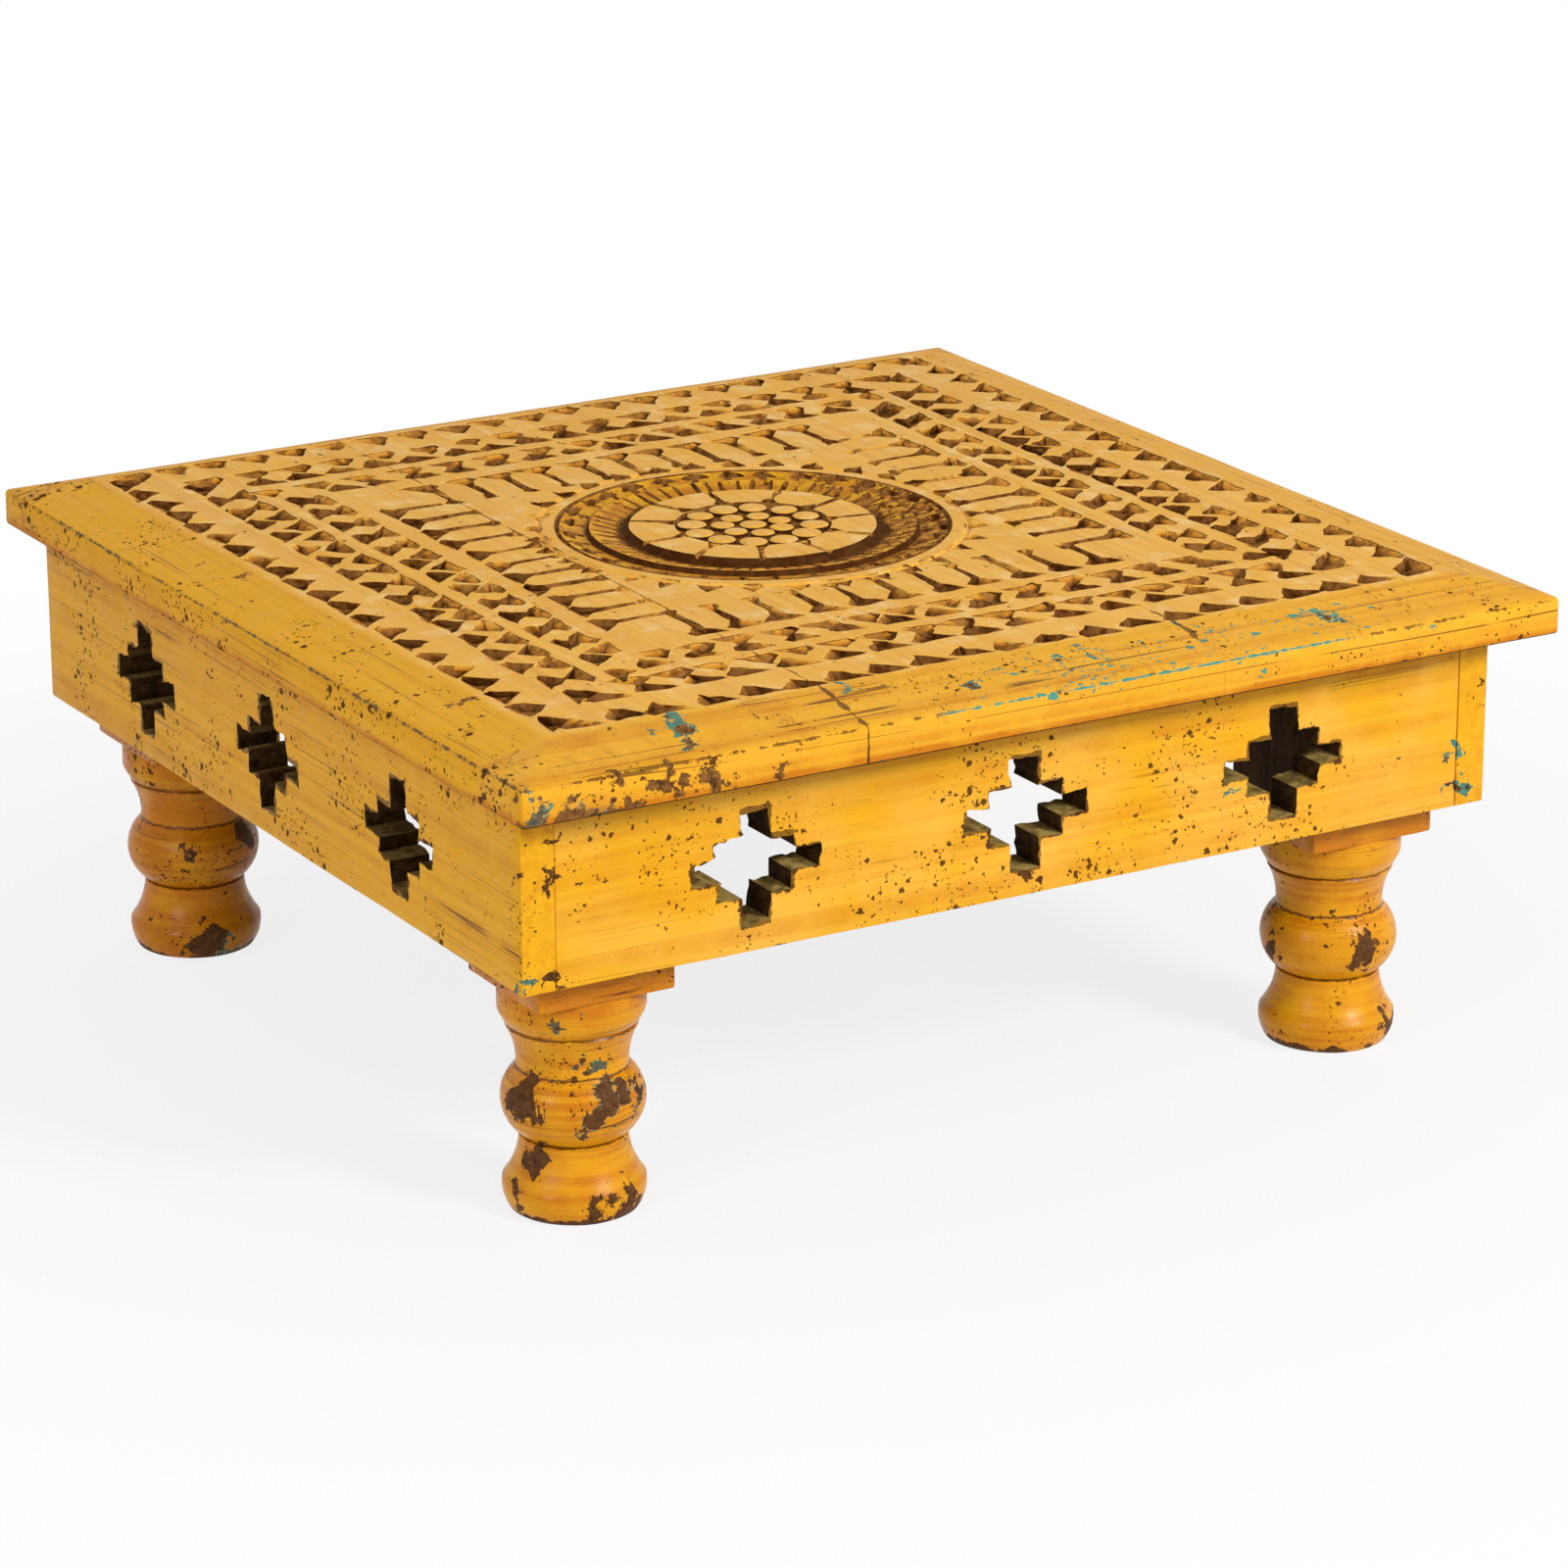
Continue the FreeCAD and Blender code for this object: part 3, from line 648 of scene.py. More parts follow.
    def pads(self, rings, height=0.003, sunk=0.0014):
        """Rounded pads of the rosette in rings of given radius, count, breadth and reach."""
        pieces = []
        for radius, number, breadth, reach in rings:
            for _, spoke in self.spokes(number):
                fresh()
                bpy.ops.mesh.primitive_cylinder_add(vertices=20, radius=0.5, depth=1)
                pad = bpy.context.object
                round_edges(pad, width=0.2, segments=3, test=edges_above(pad, 0.4))
                across = UP.cross(spoke)
                columns = (spoke * reach * self.dice.uniform(0.92, 1.05),
                           across * breadth * self.dice.uniform(0.92, 1.04), UP * height)
                size = Matrix(columns).transposed().to_4x4()
                size.translation = self.centre + spoke * radius - UP * sunk
                pad.data.transform(size)
                paint_slots(pad, self.slots)
                for face in pad.data.polygons:
                    face.material_index = FIELD if face.normal.z > 0.6 else TIERS
                pieces.append(pad)
        return joined("rosette_pads", pieces)

    def cutters(self):
        """Every layer of cuts as one cutter each, as ragged and wavy as the knife left them."""
        pieces = []
        for layer, cuts in self.layers.items():
            piece = joined("cutter", cuts)
            wander = self.top.chip_wander
            if "lines" in layer[0]:
                wander = self.top.line_wander
                edit(piece)
                bpy.ops.mesh.subdivide(number_cuts=self.LINE_SPLITS)
                fresh()
            waves(piece, wander, self.RAGGED_SIZE)
            pieces.append(piece)
        self.layers = {}
        return pieces


def turned_cutter(carver, name, profile, slot, steps=144):
    """A cutter turned from a closed outline of radii and heights about the middle of the medallion."""
    points = [carver.centre + Vector((radius, 0, height)) for radius, height in profile]
    return carver.dressed(spun(add_loop(name, points), carver.centre, steps), slot)


def ring_cutter(carver, radius, width, depth, slot, proud=0.0002):
    """A V-groove round the middle of the medallion."""
    half = width / 2
    profile = [(radius - half, proud), (radius + half, proud), (radius, -depth)]
    ring = turned_cutter(carver, "ring_line", profile, slot)
    waves(ring, height=0.0007, size=0.012)
    return ring


def bowl_cutter(carver):
    """The two sunken tiers of the medallion: two slopes inward, each ending at a steep step up."""
    profile = [(0.0790, 0.0006), (0.0772, 0.0), (0.0672, -0.0022), (0.0662, -0.0024), (0.0650, -0.0003),
               (0.0638, -0.0003), (0.0522, -0.0030), (0.0510, -0.0031), (0.0491, 0.0), (0.0488, 0.0006)]
    bowl = turned_cutter(carver, "bowl", profile, TIERS)
    waves(bowl, height=0.0006, size=0.010)
    return bowl


def dish_cutter(carver, radius, depth, proud=0.0006, taper=0.0008):
    """The shallow dish in the rosette that its rounded pads stand in."""
    profile = [(0.0, proud), (radius + proud, proud), (radius - taper, -depth), (0.0, -depth)]
    return turned_cutter(carver, "dish", profile, RECESS)


# Top
def bevelled_slab(top, slack=0.0005):
    """The whole top before it is carved: an upright edge, and a bevel that rises to the field."""
    edge = SLAB_HIGH.z - top.bevel_drop
    slab = add_box("top_slab", SLAB_LOW, Vector((SLAB_HIGH.x, SLAB_HIGH.y, edge)))
    edit(slab, "FACE", lambda face: face.normal.z > 0.9)
    bpy.ops.mesh.extrude_region_move(TRANSFORM_OT_translate={"value": (0, 0, top.bevel_drop)})
    share = top.field_side / (SLAB_HIGH.x - SLAB_LOW.x)
    bpy.ops.transform.resize(value=(share, share, 1), center_override=(0, 0, SLAB_HIGH.z))
    bpy.ops.transform.translate(value=(top.field_shift_x, top.field_shift_y, 0))
    bpy.ops.object.mode_set(mode="OBJECT")
    round_edges(slab, top.ridge_round, 4, edges_above(slab, SLAB_HIGH.z - slack))
    round_edges(slab, top.arris_round, 3, edges_below(slab, edge + slack))
    return slab


def plank_from(slab, name, low_x, high_x, top):
    """One plank: the slab between two seams, of which the right one is tight."""
    plank = copy_of(slab, name)
    for place, normal in ((low_x, -1), (high_x, 1)):
        if SLAB_LOW.x < place < SLAB_HIGH.x:
            gap = top.seam_gap if place < 0 else top.tight_gap
            edit(plank)
            bpy.ops.mesh.bisect(plane_co=(place - normal * gap / 2, 0, 0), plane_no=(normal, 0, 0),
                                use_fill=True, clear_outer=True)
            fresh()
    return plank


def clear_splinters(plank, slack=0.002):
    """Remove the splinters that the cuts have parted from a plank."""
    edit(plank, "VERT", lambda vertex: vertex.co.z < SLAB_LOW.z + slack)
    bpy.ops.mesh.select_linked()
    bpy.ops.mesh.select_all(action="INVERT")
    bpy.ops.mesh.delete(type="VERT")
    fresh()


def carving_cutters(top, slots, rosette_edge=0.0486, dish=0.031):
    """Every cutter of the carving in the order of the work, and the pads of the rosette."""
    carver = Carver(top, slots)
    carver.edge_row()
    carver.pad_band()
    carver.zigzag_band()
    carver.tongue_square()
    carver.ring_chips()
    rows = carver.cutters()
    carver.scallops(top.petals, radius=0.0708, base=0.0118, reach=0.0058, depth=0.0030)
    carver.tier_cuts("petal lines", top.petals, outer=0.0772, outer_drop=0.0002, inner=0.0672,
                     inner_drop=0.0021, width=0.0030, depth=0.0017)
    carver.tier_cuts("flute lines", top.flutes, outer=0.0644, outer_drop=0.0002, inner=0.0526,
                     inner_drop=0.0029, width=0.0022, depth=0.0013)
    carver.rosette(rosette_edge, dish, petals=11)
    lines = carver.cutters()
    lines.append(dish_cutter(carver, dish, depth=0.0019))
    lines.append(ring_cutter(carver, radius=0.0852, width=0.0038, depth=0.0010, slot=FIELD))
    lines.append(ring_cutter(carver, radius=0.0778, width=0.0026, depth=0.0012, slot=RECESS))
    pads = carver.pads(ROSETTE_PADS)
    for used in list(carver.chip_shapes.values()) + [carver.groove_shape]:
        discard(used)
    return rows + [bowl_cutter(carver)] + lines, pads


class TABLE_OT_top(bpy.types.Operator):
    """Build the three carved planks of the top"""
    bl_idname = "table.carved_top"
    bl_label = "Carved top"

    def execute(self, context):
        top = context.scene.table_top
        paint = context.scene.table_paint
        slots = [field_material(top, paint), recess_material(paint), tier_material(paint)]
        cutters, pads = carving_cutters(top, slots)
        slab = bevelled_slab(top)
        slice_grid(slab, SLAB_LOW, SLAB_HIGH, top.grid_step, (0, 1))
        bounds = {"left": (SLAB_LOW.x, SEAM_LEFT), "middle": (SEAM_LEFT, SEAM_RIGHT),
                  "right": (SEAM_RIGHT, SLAB_HIGH.x)}
        for side, (low_x, high_x) in bounds.items():
            plank = plank_from(slab, "carved_plank_" + side, low_x, high_x, top)
            waves(plank, top.wave_height, size=0.05)
            paint_slots(plank, slots)
            for cutter in cutters:
                cut(plank, cutter)
            if side == "middle":
                cut(plank, pads, "UNION")
            clear_splinters(plank)
            smooth(plank, degrees=24)
            seat(plank, "top_plank_" + side)
        for used in cutters + [pads, slab]:
            discard(used)
        return {"FINISHED"}


# Frame boards
def cutout_cutter(middle, axis, board, dice, step=0.0025, reach=0.034):
    """A stepped cross prism through a board, as the saw left it."""
    tall, middle_bar, long = CUTOUT_BARS
    steps = (tall, (tall[0], middle_bar[1]), middle_bar, (middle_bar[0], long[1]), long)
    right = list(steps) + [(x, -z) for x, z in reversed(steps)]
    outline = right + [(-x, -z) for x, z in right]
    wander = board.saw_wander * (SIDE_SAW if axis else 1.0)
    corners = [(across + dice.gauss(0, wander), rise + dice.gauss(0, wander)) for across, rise in outline]
    points = []
    for first, last in zip(corners, corners[1:] + corners[:1]):
        pieces = max(1, round(math.dist(first, last) / step))
        for number in range(pieces):
            place = Vector(middle)
            place[axis] += first[0] + (last[0] - first[0]) * number / pieces + dice.gauss(0, wander / 3)
            place.z += first[1] + (last[1] - first[1]) * number / pieces + dice.gauss(0, wander / 3)
            points.append(place)
    cutter = add_loop("cutout", points, "NGON")
    through = Vector((0, 0, 0))
    through[1 - axis] = reach
    edit(cutter)
    bpy.ops.mesh.extrude_region_move(TRANSFORM_OT_translate={"value": through})
    bpy.ops.mesh.select_all(action="SELECT")
    bpy.ops.mesh.normals_make_consistent(inside=False)
    fresh()
    return cutter


def cutout_ends(axis, board):
    """Middles of the first and last cut-outs, along the boards of one direction."""
    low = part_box("apron_left")[0][axis] if axis == 0 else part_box("apron_front")[0][1]
    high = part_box("apron_right")[1][axis] if axis == 0 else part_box("apron_back")[1][1]
    return low + board.cutout_from_end, high - board.cutout_from_end


def cut_board(piece, side, room=0.0001):
    """Make room in a piece for one frame board."""
    spare = Vector((room, room, room))
    low, high = (Vector(corner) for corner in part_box("apron_" + side))
    cutter = add_box("room", low - spare, high + spare)
    cut(piece, cutter)
    discard(cutter)


def apron_board(side, axis, board, slots, dice, ahead=0.008):
    """One frame board with rounded edges and three cut-outs, whose cutters start ahead of it."""
    low, high = (Vector(corner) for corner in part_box("apron_" + side))
    piece = add_box("frame_board_" + side, low, high)
    round_edges(piece, board.arris_round, 2)
    slice_grid(piece, low, high, board.grid_step, (axis, 2))
    waves(piece, board.wave_height, size=0.04)
    paint_slots(piece, slots)
    ends = cutout_ends(axis, board)
    for place in (ends[0], sum(ends) / 2, ends[1]):
        middle = Vector((0, 0, low.z + board.cutout_rise))
        middle[axis] = place
        middle[1 - axis] = low[1 - axis] - ahead
        cutter = cutout_cutter(middle, axis, board, dice)
        paint_slots(cutter, slots, SAWN)
        cut(piece, cutter)
        discard(cutter)
    if side in ("left", "right"):
        cut_board(piece, "front")
        cut_board(piece, "back")
    smooth(piece, degrees=30)
    return piece


class TABLE_OT_frame(bpy.types.Operator):
    """Build the four pierced boards of the frame"""
    bl_idname = "table.frame_boards"
    bl_label = "Frame boards"

    def execute(self, context):
        board = context.scene.table_frame
        dice = random.Random(board.seed)
        paint = context.scene.table_paint
        # The front and back boards' cut-outs get more of the lighter ledge colour than the side boards'
        sawn = (sawn_material("sawn_walls", paint, dust_and_light=0.9),
                sawn_material("sawn_walls_side", paint, dust_and_light=0.4))
        for side, axis in APRONS.items():
            slots = [board_material(side, axis, board, paint), sawn[axis]]
            piece = apron_board(side, axis, board, slots, dice)
            seat(piece, "apron_" + side)
        return {"FINISHED"}


# Legs
def arc(first, through, last, steps=9):
    """Points along the arc through three places of a profile, each a radius and a height."""
    (ax, ay), (bx, by), (cx, cy) = first, through, last
    square_a, square_b, square_c = (x * x + y * y for x, y in (first, through, last))
    divisor = 2 * (ax * (by - cy) + bx * (cy - ay) + cx * (ay - by))
    middle_x = (square_a * (by - cy) + square_b * (cy - ay) + square_c * (ay - by)) / divisor
    middle_y = (square_a * (cx - bx) + square_b * (ax - cx) + square_c * (bx - ax)) / divisor
    radius = math.hypot(ax - middle_x, ay - middle_y)
    start, halfway, end = (math.atan2(y - middle_y, x - middle_x) for x, y in (first, through, last))
    sweep = (end - start) % (2 * math.pi)
    if (halfway - start) % (2 * math.pi) > sweep:
        sweep -= 2 * math.pi
    angles = [start + sweep * number / steps for number in range(steps + 1)]
    return [(middle_x + radius * math.cos(angle), middle_y + radius * math.sin(angle)) for angle in angles]


def leg_profile(head):
    """Radius and height of the turned part, in millimetres, from the floor to the square head."""
    points = arc((24.0, 0.0), (26.2, 4.5), (26.7, 10.0), 6)
    points += arc((26.6, 11.0), (22.3, 18.5), (20.3, 28.0), 9)
    points += [(19.4, 28.5), (20.2, 29.2)]
    points += arc((20.6, 29.4), (26.9, 42.2), (21.2, 54.6), 14)
    points += [(20.9, 55.2), (20.9, 58.0)]
    points += arc((20.9, 58.4), (22.0, 65.0), (24.6, 71.0), 6)
    points += [(24.2, 71.6), (24.0, 72.0), (24.8, 72.6)]
    points += [(25.2, 73.0), (27.2, 76.6), (27.6, 78.0), (27.6, 84.0), (27.2, head)]
    return points


def turned_leg(corner, low, high, leg, head_grid=0.008, head_lap=1):
    """One leg: the turned part below a square head, which is rebated for the two boards of its corner."""
    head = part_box("apron_front")[0][2] - leg.head_below_board
    axis = Vector(((low.x + high.x) / 2, (low.y + high.y) / 2, 0))
    # The profile is in millimetres, and laps a little into the head
    profile = leg_profile(head * 1000 + head_lap)
    outline = [(0, 0)] + profile + [(0, profile[-1][1])]
    points = [Vector((radius * 0.001, 0, z * 0.001)) for radius, z in outline]
    piece = add_loop("turned_leg_" + corner, points)
    spun(piece, (0, 0, 0), leg.turning_steps)
    piece.data.transform(Matrix.Translation(axis))
    block = add_box("head", Vector((low.x, low.y, head)), high)
    round_edges(block, leg.head_round, 2)
    slice_grid(block, Vector((low.x, low.y, head)), high, head_grid, (0, 1, 2))
    for side in corner.split("_"):
        cut_board(block, side)
    cut(piece, block, "UNION")
    discard(block)
    waves(piece, leg.wave_height, size=0.018)
    smooth(piece, degrees=35)
    return piece


class TABLE_OT_legs(bpy.types.Operator):
    """Turn the four legs"""
    bl_idname = "table.turned_legs"
    bl_label = "Turned legs"

    def execute(self, context):
        leg = context.scene.table_legs
        for corner in CORNERS:
            node = "leg_" + corner
            low, high = (Vector(place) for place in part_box(node))
            piece = turned_leg(corner, low, high, leg)
            paint_slots(piece, [leg_material(corner, low, high, context.scene.table_paint)])
            seat(piece, node)
        return {"FINISHED"}


# Shader tools
def put(tree, kind, inputs=None, out=0, **settings):
    """Add a node, set or link its inputs, and give back one of its outputs."""
    node = tree.nodes.new(kind)
    for name, value in settings.items():
        setattr(node, name, value)
    for name, value in (inputs or {}).items():
        feed(tree, node.inputs[name], value)
    return node.outputs[out]


def feed(tree, socket, value):
    """Link a socket to what feeds it, or set its own value."""
    if isinstance(value, bpy.types.NodeSocket):
        tree.links.new(value, socket)
    elif isinstance(value, (int, float)):
        socket.default_value = value
    else:
        size = len(socket.default_value)
        socket.default_value = (tuple(value) + (1.0,))[:size]


def calc(tree, operation, first, second=0.0, clamp=False):
    """One step of arithmetic on values."""
    return put(tree, "ShaderNodeMath", {0: first, 1: second}, operation=operation, use_clamp=clamp)


def chained(tree, operation, values):
    """One kind of arithmetic on several values in turn."""
    result = values[0]
    for value in values[1:]:
        result = calc(tree, operation, result, value)
    return result


def times(tree, *values):
    """Values multiplied together."""
    return chained(tree, "MULTIPLY", values)


def plus(tree, *values):
    """Values added up."""
    return chained(tree, "ADD", values)


def largest(tree, *values):
    """The largest of several values."""
    return chained(tree, "MAXIMUM", values)


def smaller(tree, first, second):
    """The smaller of two values."""
    return calc(tree, "MINIMUM", first, second)


def minus(tree, first, second, clamp=False):
    """One value less another."""
    return calc(tree, "SUBTRACT", first, second, clamp)


def unsigned(tree, value):
    """A value without its sign."""
    return calc(tree, "ABSOLUTE", value)


def vector_calc(tree, operation, first, second):
    """One step of arithmetic on vectors."""
    return put(tree, "ShaderNodeVectorMath", {0: first, 1: second}, operation=operation)


def spread(tree, value, low, high, to_low=0.0, to_high=1.0):
    """A smooth rise from one value to another."""
    inputs = {"Value": value, "From Min": low, "From Max": high, "To Min": to_low, "To Max": to_high}
    return put(tree, "ShaderNodeMapRange", inputs, interpolation_type="SMOOTHSTEP")


def mix(tree, factor, first, second):
    """One colour over another."""
    node = tree.nodes.new("ShaderNodeMix")
    node.data_type = "RGBA"
    for index, value in ((0, factor), (6, first), (7, second)):
        feed(tree, node.inputs[index], value)
    return node.outputs[2]


def noise(tree, vector, scale, detail=4.0, roughness=0.55, distortion=0.0):
    """Cloudy values from 0 to 1."""
    return put(tree, "ShaderNodeTexNoise", {"Vector": vector, "Scale": scale, "Detail": detail,
                                            "Roughness": roughness, "Distortion": distortion})


def stray(tree, position, scale, reach, roughness=0.6):
    """Cloudy values to either side of nought, half a reach each way."""
    return times(tree, minus(tree, noise(tree, position, scale, 5.0, roughness), 0.5), reach)


def shaken(tree, position, scale, reach):
    """Places that noise moves a little in every direction."""
    cloud = put(tree, "ShaderNodeTexNoise", {"Vector": position, "Scale": scale, "Detail": 3.0}, out=1)
    centred = vector_calc(tree, "SUBTRACT", cloud, (0.5, 0.5, 0.5))
    return vector_calc(tree, "ADD", position, vector_calc(tree, "MULTIPLY", centred, (reach,) * 3))


def parts_of(tree, vector):
    """The three parts of a vector."""
    node = tree.nodes.new("ShaderNodeSeparateXYZ")
    tree.links.new(vector, node.inputs[0])
    return node.outputs


def new_group(name, inputs, outputs):
    """An empty shader group with named sockets, and its input values."""
    tree = bpy.data.node_groups.new(name, "ShaderNodeTree")
    kinds = {"value": "NodeSocketFloat", "vector": "NodeSocketVector", "colour": "NodeSocketColor"}
    for socket, kind in inputs.items():
        tree.interface.new_socket(socket, in_out="INPUT", socket_type=kinds[kind])
    for socket, kind in outputs.items():
        tree.interface.new_socket(socket, in_out="OUTPUT", socket_type=kinds[kind])
    given = tree.nodes.new("NodeGroupInput")
    result = tree.nodes.new("NodeGroupOutput")
    return tree, given.outputs, result.inputs


def use_group(tree, group, inputs):
    """Place a shader group in a material and give back its outputs."""
    node = tree.nodes.new("ShaderNodeGroup")
    node.node_tree = group
    for name, value in inputs.items():
        feed(tree, node.inputs[name], value)
    return node.outputs


def group_of(name, build):
    """A shader group by name, built the first time it is asked for."""
    return bpy.data.node_groups.get(name) or build(name)


def grain_group(name):
    """Fine brown lines, soft streaks and rare dark cracks along the grain, from stretched noise."""
    tree, given, result = new_group(name, {"Position": "vector", "Stretch": "vector", "Amount": "value"},
                                    {"Lines": "value", "Streaks": "value", "Cracks": "value"})
    stretched = vector_calc(tree, "MULTIPLY", given["Position"], given["Stretch"])
    fine = noise(tree, stretched, 1.0, 5.0, 0.65, 0.4)
    coarse = noise(tree, vector_calc(tree, "MULTIPLY", stretched, (0.3, 0.3, 0.3)), 1.0, 4.0, 0.6, 0.3)
    long = noise(tree, vector_calc(tree, "MULTIPLY", stretched, (0.22, 0.22, 0.22)), 1.0, 1.0, 0.4, 0.2)
    patch = noise(tree, given["Position"], 14.0, 3.0)
    sway = times(tree, minus(tree, patch, 0.5), 0.25)
    low = minus(tree, 0.72, times(tree, given["Amount"], 0.12))
    lines = spread(tree, minus(tree, plus(tree, fine, sway), low), 0.0, 0.09)
    ridge = unsigned(tree, minus(tree, long, 0.5))
    place = spread(tree, plus(tree, patch, times(tree, given["Amount"], 0.08)), 0.6, 0.66)
    tree.links.new(lines, result["Lines"])
    tree.links.new(spread(tree, coarse, 0.35, 0.7), result["Streaks"])
    tree.links.new(times(tree, spread(tree, ridge, 0.011, 0.004), place), result["Cracks"])
    return tree


def speckle_group(name):
    """Small ragged dark specks of two sizes, in loose clusters."""
    tree, given, result = new_group(name, {"Position": "vector", "Cells": "value", "Radius": "value"},
                                    {"Spots": "value"})
    shifted = shaken(tree, given["Position"], 800.0, 0.0028)
    clump = spread(tree, noise(tree, given["Position"], 32.0, 3.0), 0.4, 0.64, 0.1, 1.0)
    spots = 0.0
    for finer, rare in ((1.0, 0.7), (2.3, 0.56)):
        cells = tree.nodes.new("ShaderNodeTexVoronoi")
        tree.links.new(shifted, cells.inputs["Vector"])
        tree.links.new(times(tree, given["Cells"], finer), cells.inputs["Scale"])
        chance = parts_of(tree, cells.outputs["Color"])[0]
        share = calc(tree, "POWER", spread(tree, chance, rare, 1.0), 1.5)
        reach = times(tree, share, given["Radius"], clump)
        spot = spread(tree, minus(tree, reach, cells.outputs["Distance"]), 0.0, 0.06)
        spots = largest(tree, spot, spots)
    tree.links.new(spots, result["Spots"])
    return tree


def flake_group(name):
    """Where paint has flaked off, the dark line round it, and where the undercoat still holds."""
    inputs = {"Position": "vector", "Wear": "value", "Cover": "value", "Teal": "value"}
    tree, given, result = new_group(name, inputs, {"Bare": "value", "Line": "value", "Undercoat": "value"})
    shape = noise(tree, given["Position"], 120.0, 7.0, 0.68, 0.15)
    patch = noise(tree, vector_calc(tree, "ADD", given["Position"], (3.1, 1.7, 0.4)), 24.0, 3.0)
    level = plus(tree, shape, times(tree, given["Wear"], 0.34))
    level = plus(tree, level, times(tree, minus(tree, patch, 0.5), 0.3))
    level = minus(tree, level, given["Cover"])
    under = spread(tree, level, -0.04, -0.032)
    chance = noise(tree, vector_calc(tree, "ADD", given["Position"], (0.7, 5.2, 2.4)), 18.0, 2.0)
    place = spread(tree, plus(tree, chance, times(tree, given["Teal"], 0.5)), 0.64, 0.7)
    held = noise(tree, vector_calc(tree, "ADD", given["Position"], (1.9, 0.3, 6.1)), 70.0, 4.0, 0.6)
    held = times(tree, given["Teal"], spread(tree, held, 0.44, 0.48))
    bare = times(tree, spread(tree, level, 0.0, 0.012), minus(tree, 1.0, held))
    line = minus(tree, spread(tree, level, -0.009, -0.003), bare, clamp=True)
    line = times(tree, line, minus(tree, 1.0, times(tree, place, 0.7)))
    tree.links.new(bare, result["Bare"])
    tree.links.new(line, result["Line"])
    tree.links.new(times(tree, under, place), result["Undercoat"])
    return tree


def arris_group(name):
    """Distance to the nearest edge of a box, for a place on its surface."""
    tree, given, result = new_group(name, {"Position": "vector", "Low": "vector", "High": "vector"},
                                    {"Distance": "value"})
    from_low = vector_calc(tree, "SUBTRACT", given["Position"], given["Low"])
    to_high = vector_calc(tree, "SUBTRACT", given["High"], given["Position"])
    x, y, z = parts_of(tree, vector_calc(tree, "MINIMUM", from_low, to_high))
    second = largest(tree, smaller(tree, x, y), smaller(tree, largest(tree, x, y), z))
    tree.links.new(largest(tree, second, 0.0), result["Distance"])
    return tree


def rim_group(name):
    """Distance to the rim of the nearest of three stepped cut-outs in a row."""
    tree, given, result = new_group(name, {"Along": "value", "Rise": "value", "Pitch": "value"},
                                    {"Distance": "value"})
    along = unsigned(tree, given["Along"])
    along = smaller(tree, along, unsigned(tree, minus(tree, along, given["Pitch"])))
    rise = unsigned(tree, given["Rise"])
    nearest = 1.0
    for half_wide, half_high in CUTOUT_BARS:
        past_x = largest(tree, minus(tree, along, half_wide), 0.0)
        past_z = largest(tree, minus(tree, rise, half_high), 0.0)
        squares = plus(tree, times(tree, past_x, past_x), times(tree, past_z, past_z))
        nearest = smaller(tree, calc(tree, "SQRT", squares), nearest)
    tree.links.new(nearest, result["Distance"])
    return tree


def spot_group(name):
    """A soft round mask about one place."""
    tree, given, result = new_group(name, {"Position": "vector", "Place": "vector", "Radius": "value"},
                                    {"Mask": "value"})
    offset = vector_calc(tree, "SUBTRACT", given["Position"], given["Place"])
    distance = put(tree, "ShaderNodeVectorMath", {0: offset}, out=1, operation="LENGTH")
    tree.links.new(spread(tree, calc(tree, "DIVIDE", distance, given["Radius"]), 1.15, 0.25), result["Mask"])
    return tree


def wood_group(name):
    """Dark unpainted wood, as it stands inside the frame and in the sawn walls; its darkness is partly
    painted shade.
    """
    inputs = {"Position": "vector", "Stretch": "vector", "Dark": "colour", "Light": "colour"}
    tree, given, result = new_group(name, inputs, {"Color": "colour", "Height": "value"})
    stretched = vector_calc(tree, "MULTIPLY", given["Position"], given["Stretch"])
    fibres = noise(tree, stretched, 1.0, 6.0, 0.65, 0.5)
    cloud = noise(tree, given["Position"], 70.0, 4.0)
    level = plus(tree, times(tree, fibres, 0.7), times(tree, cloud, 0.3))
    tree.links.new(mix(tree, spread(tree, level, 0.36, 0.66), given["Dark"], given["Light"]), result["Color"])
    tree.links.new(fibres, result["Height"])
    return tree


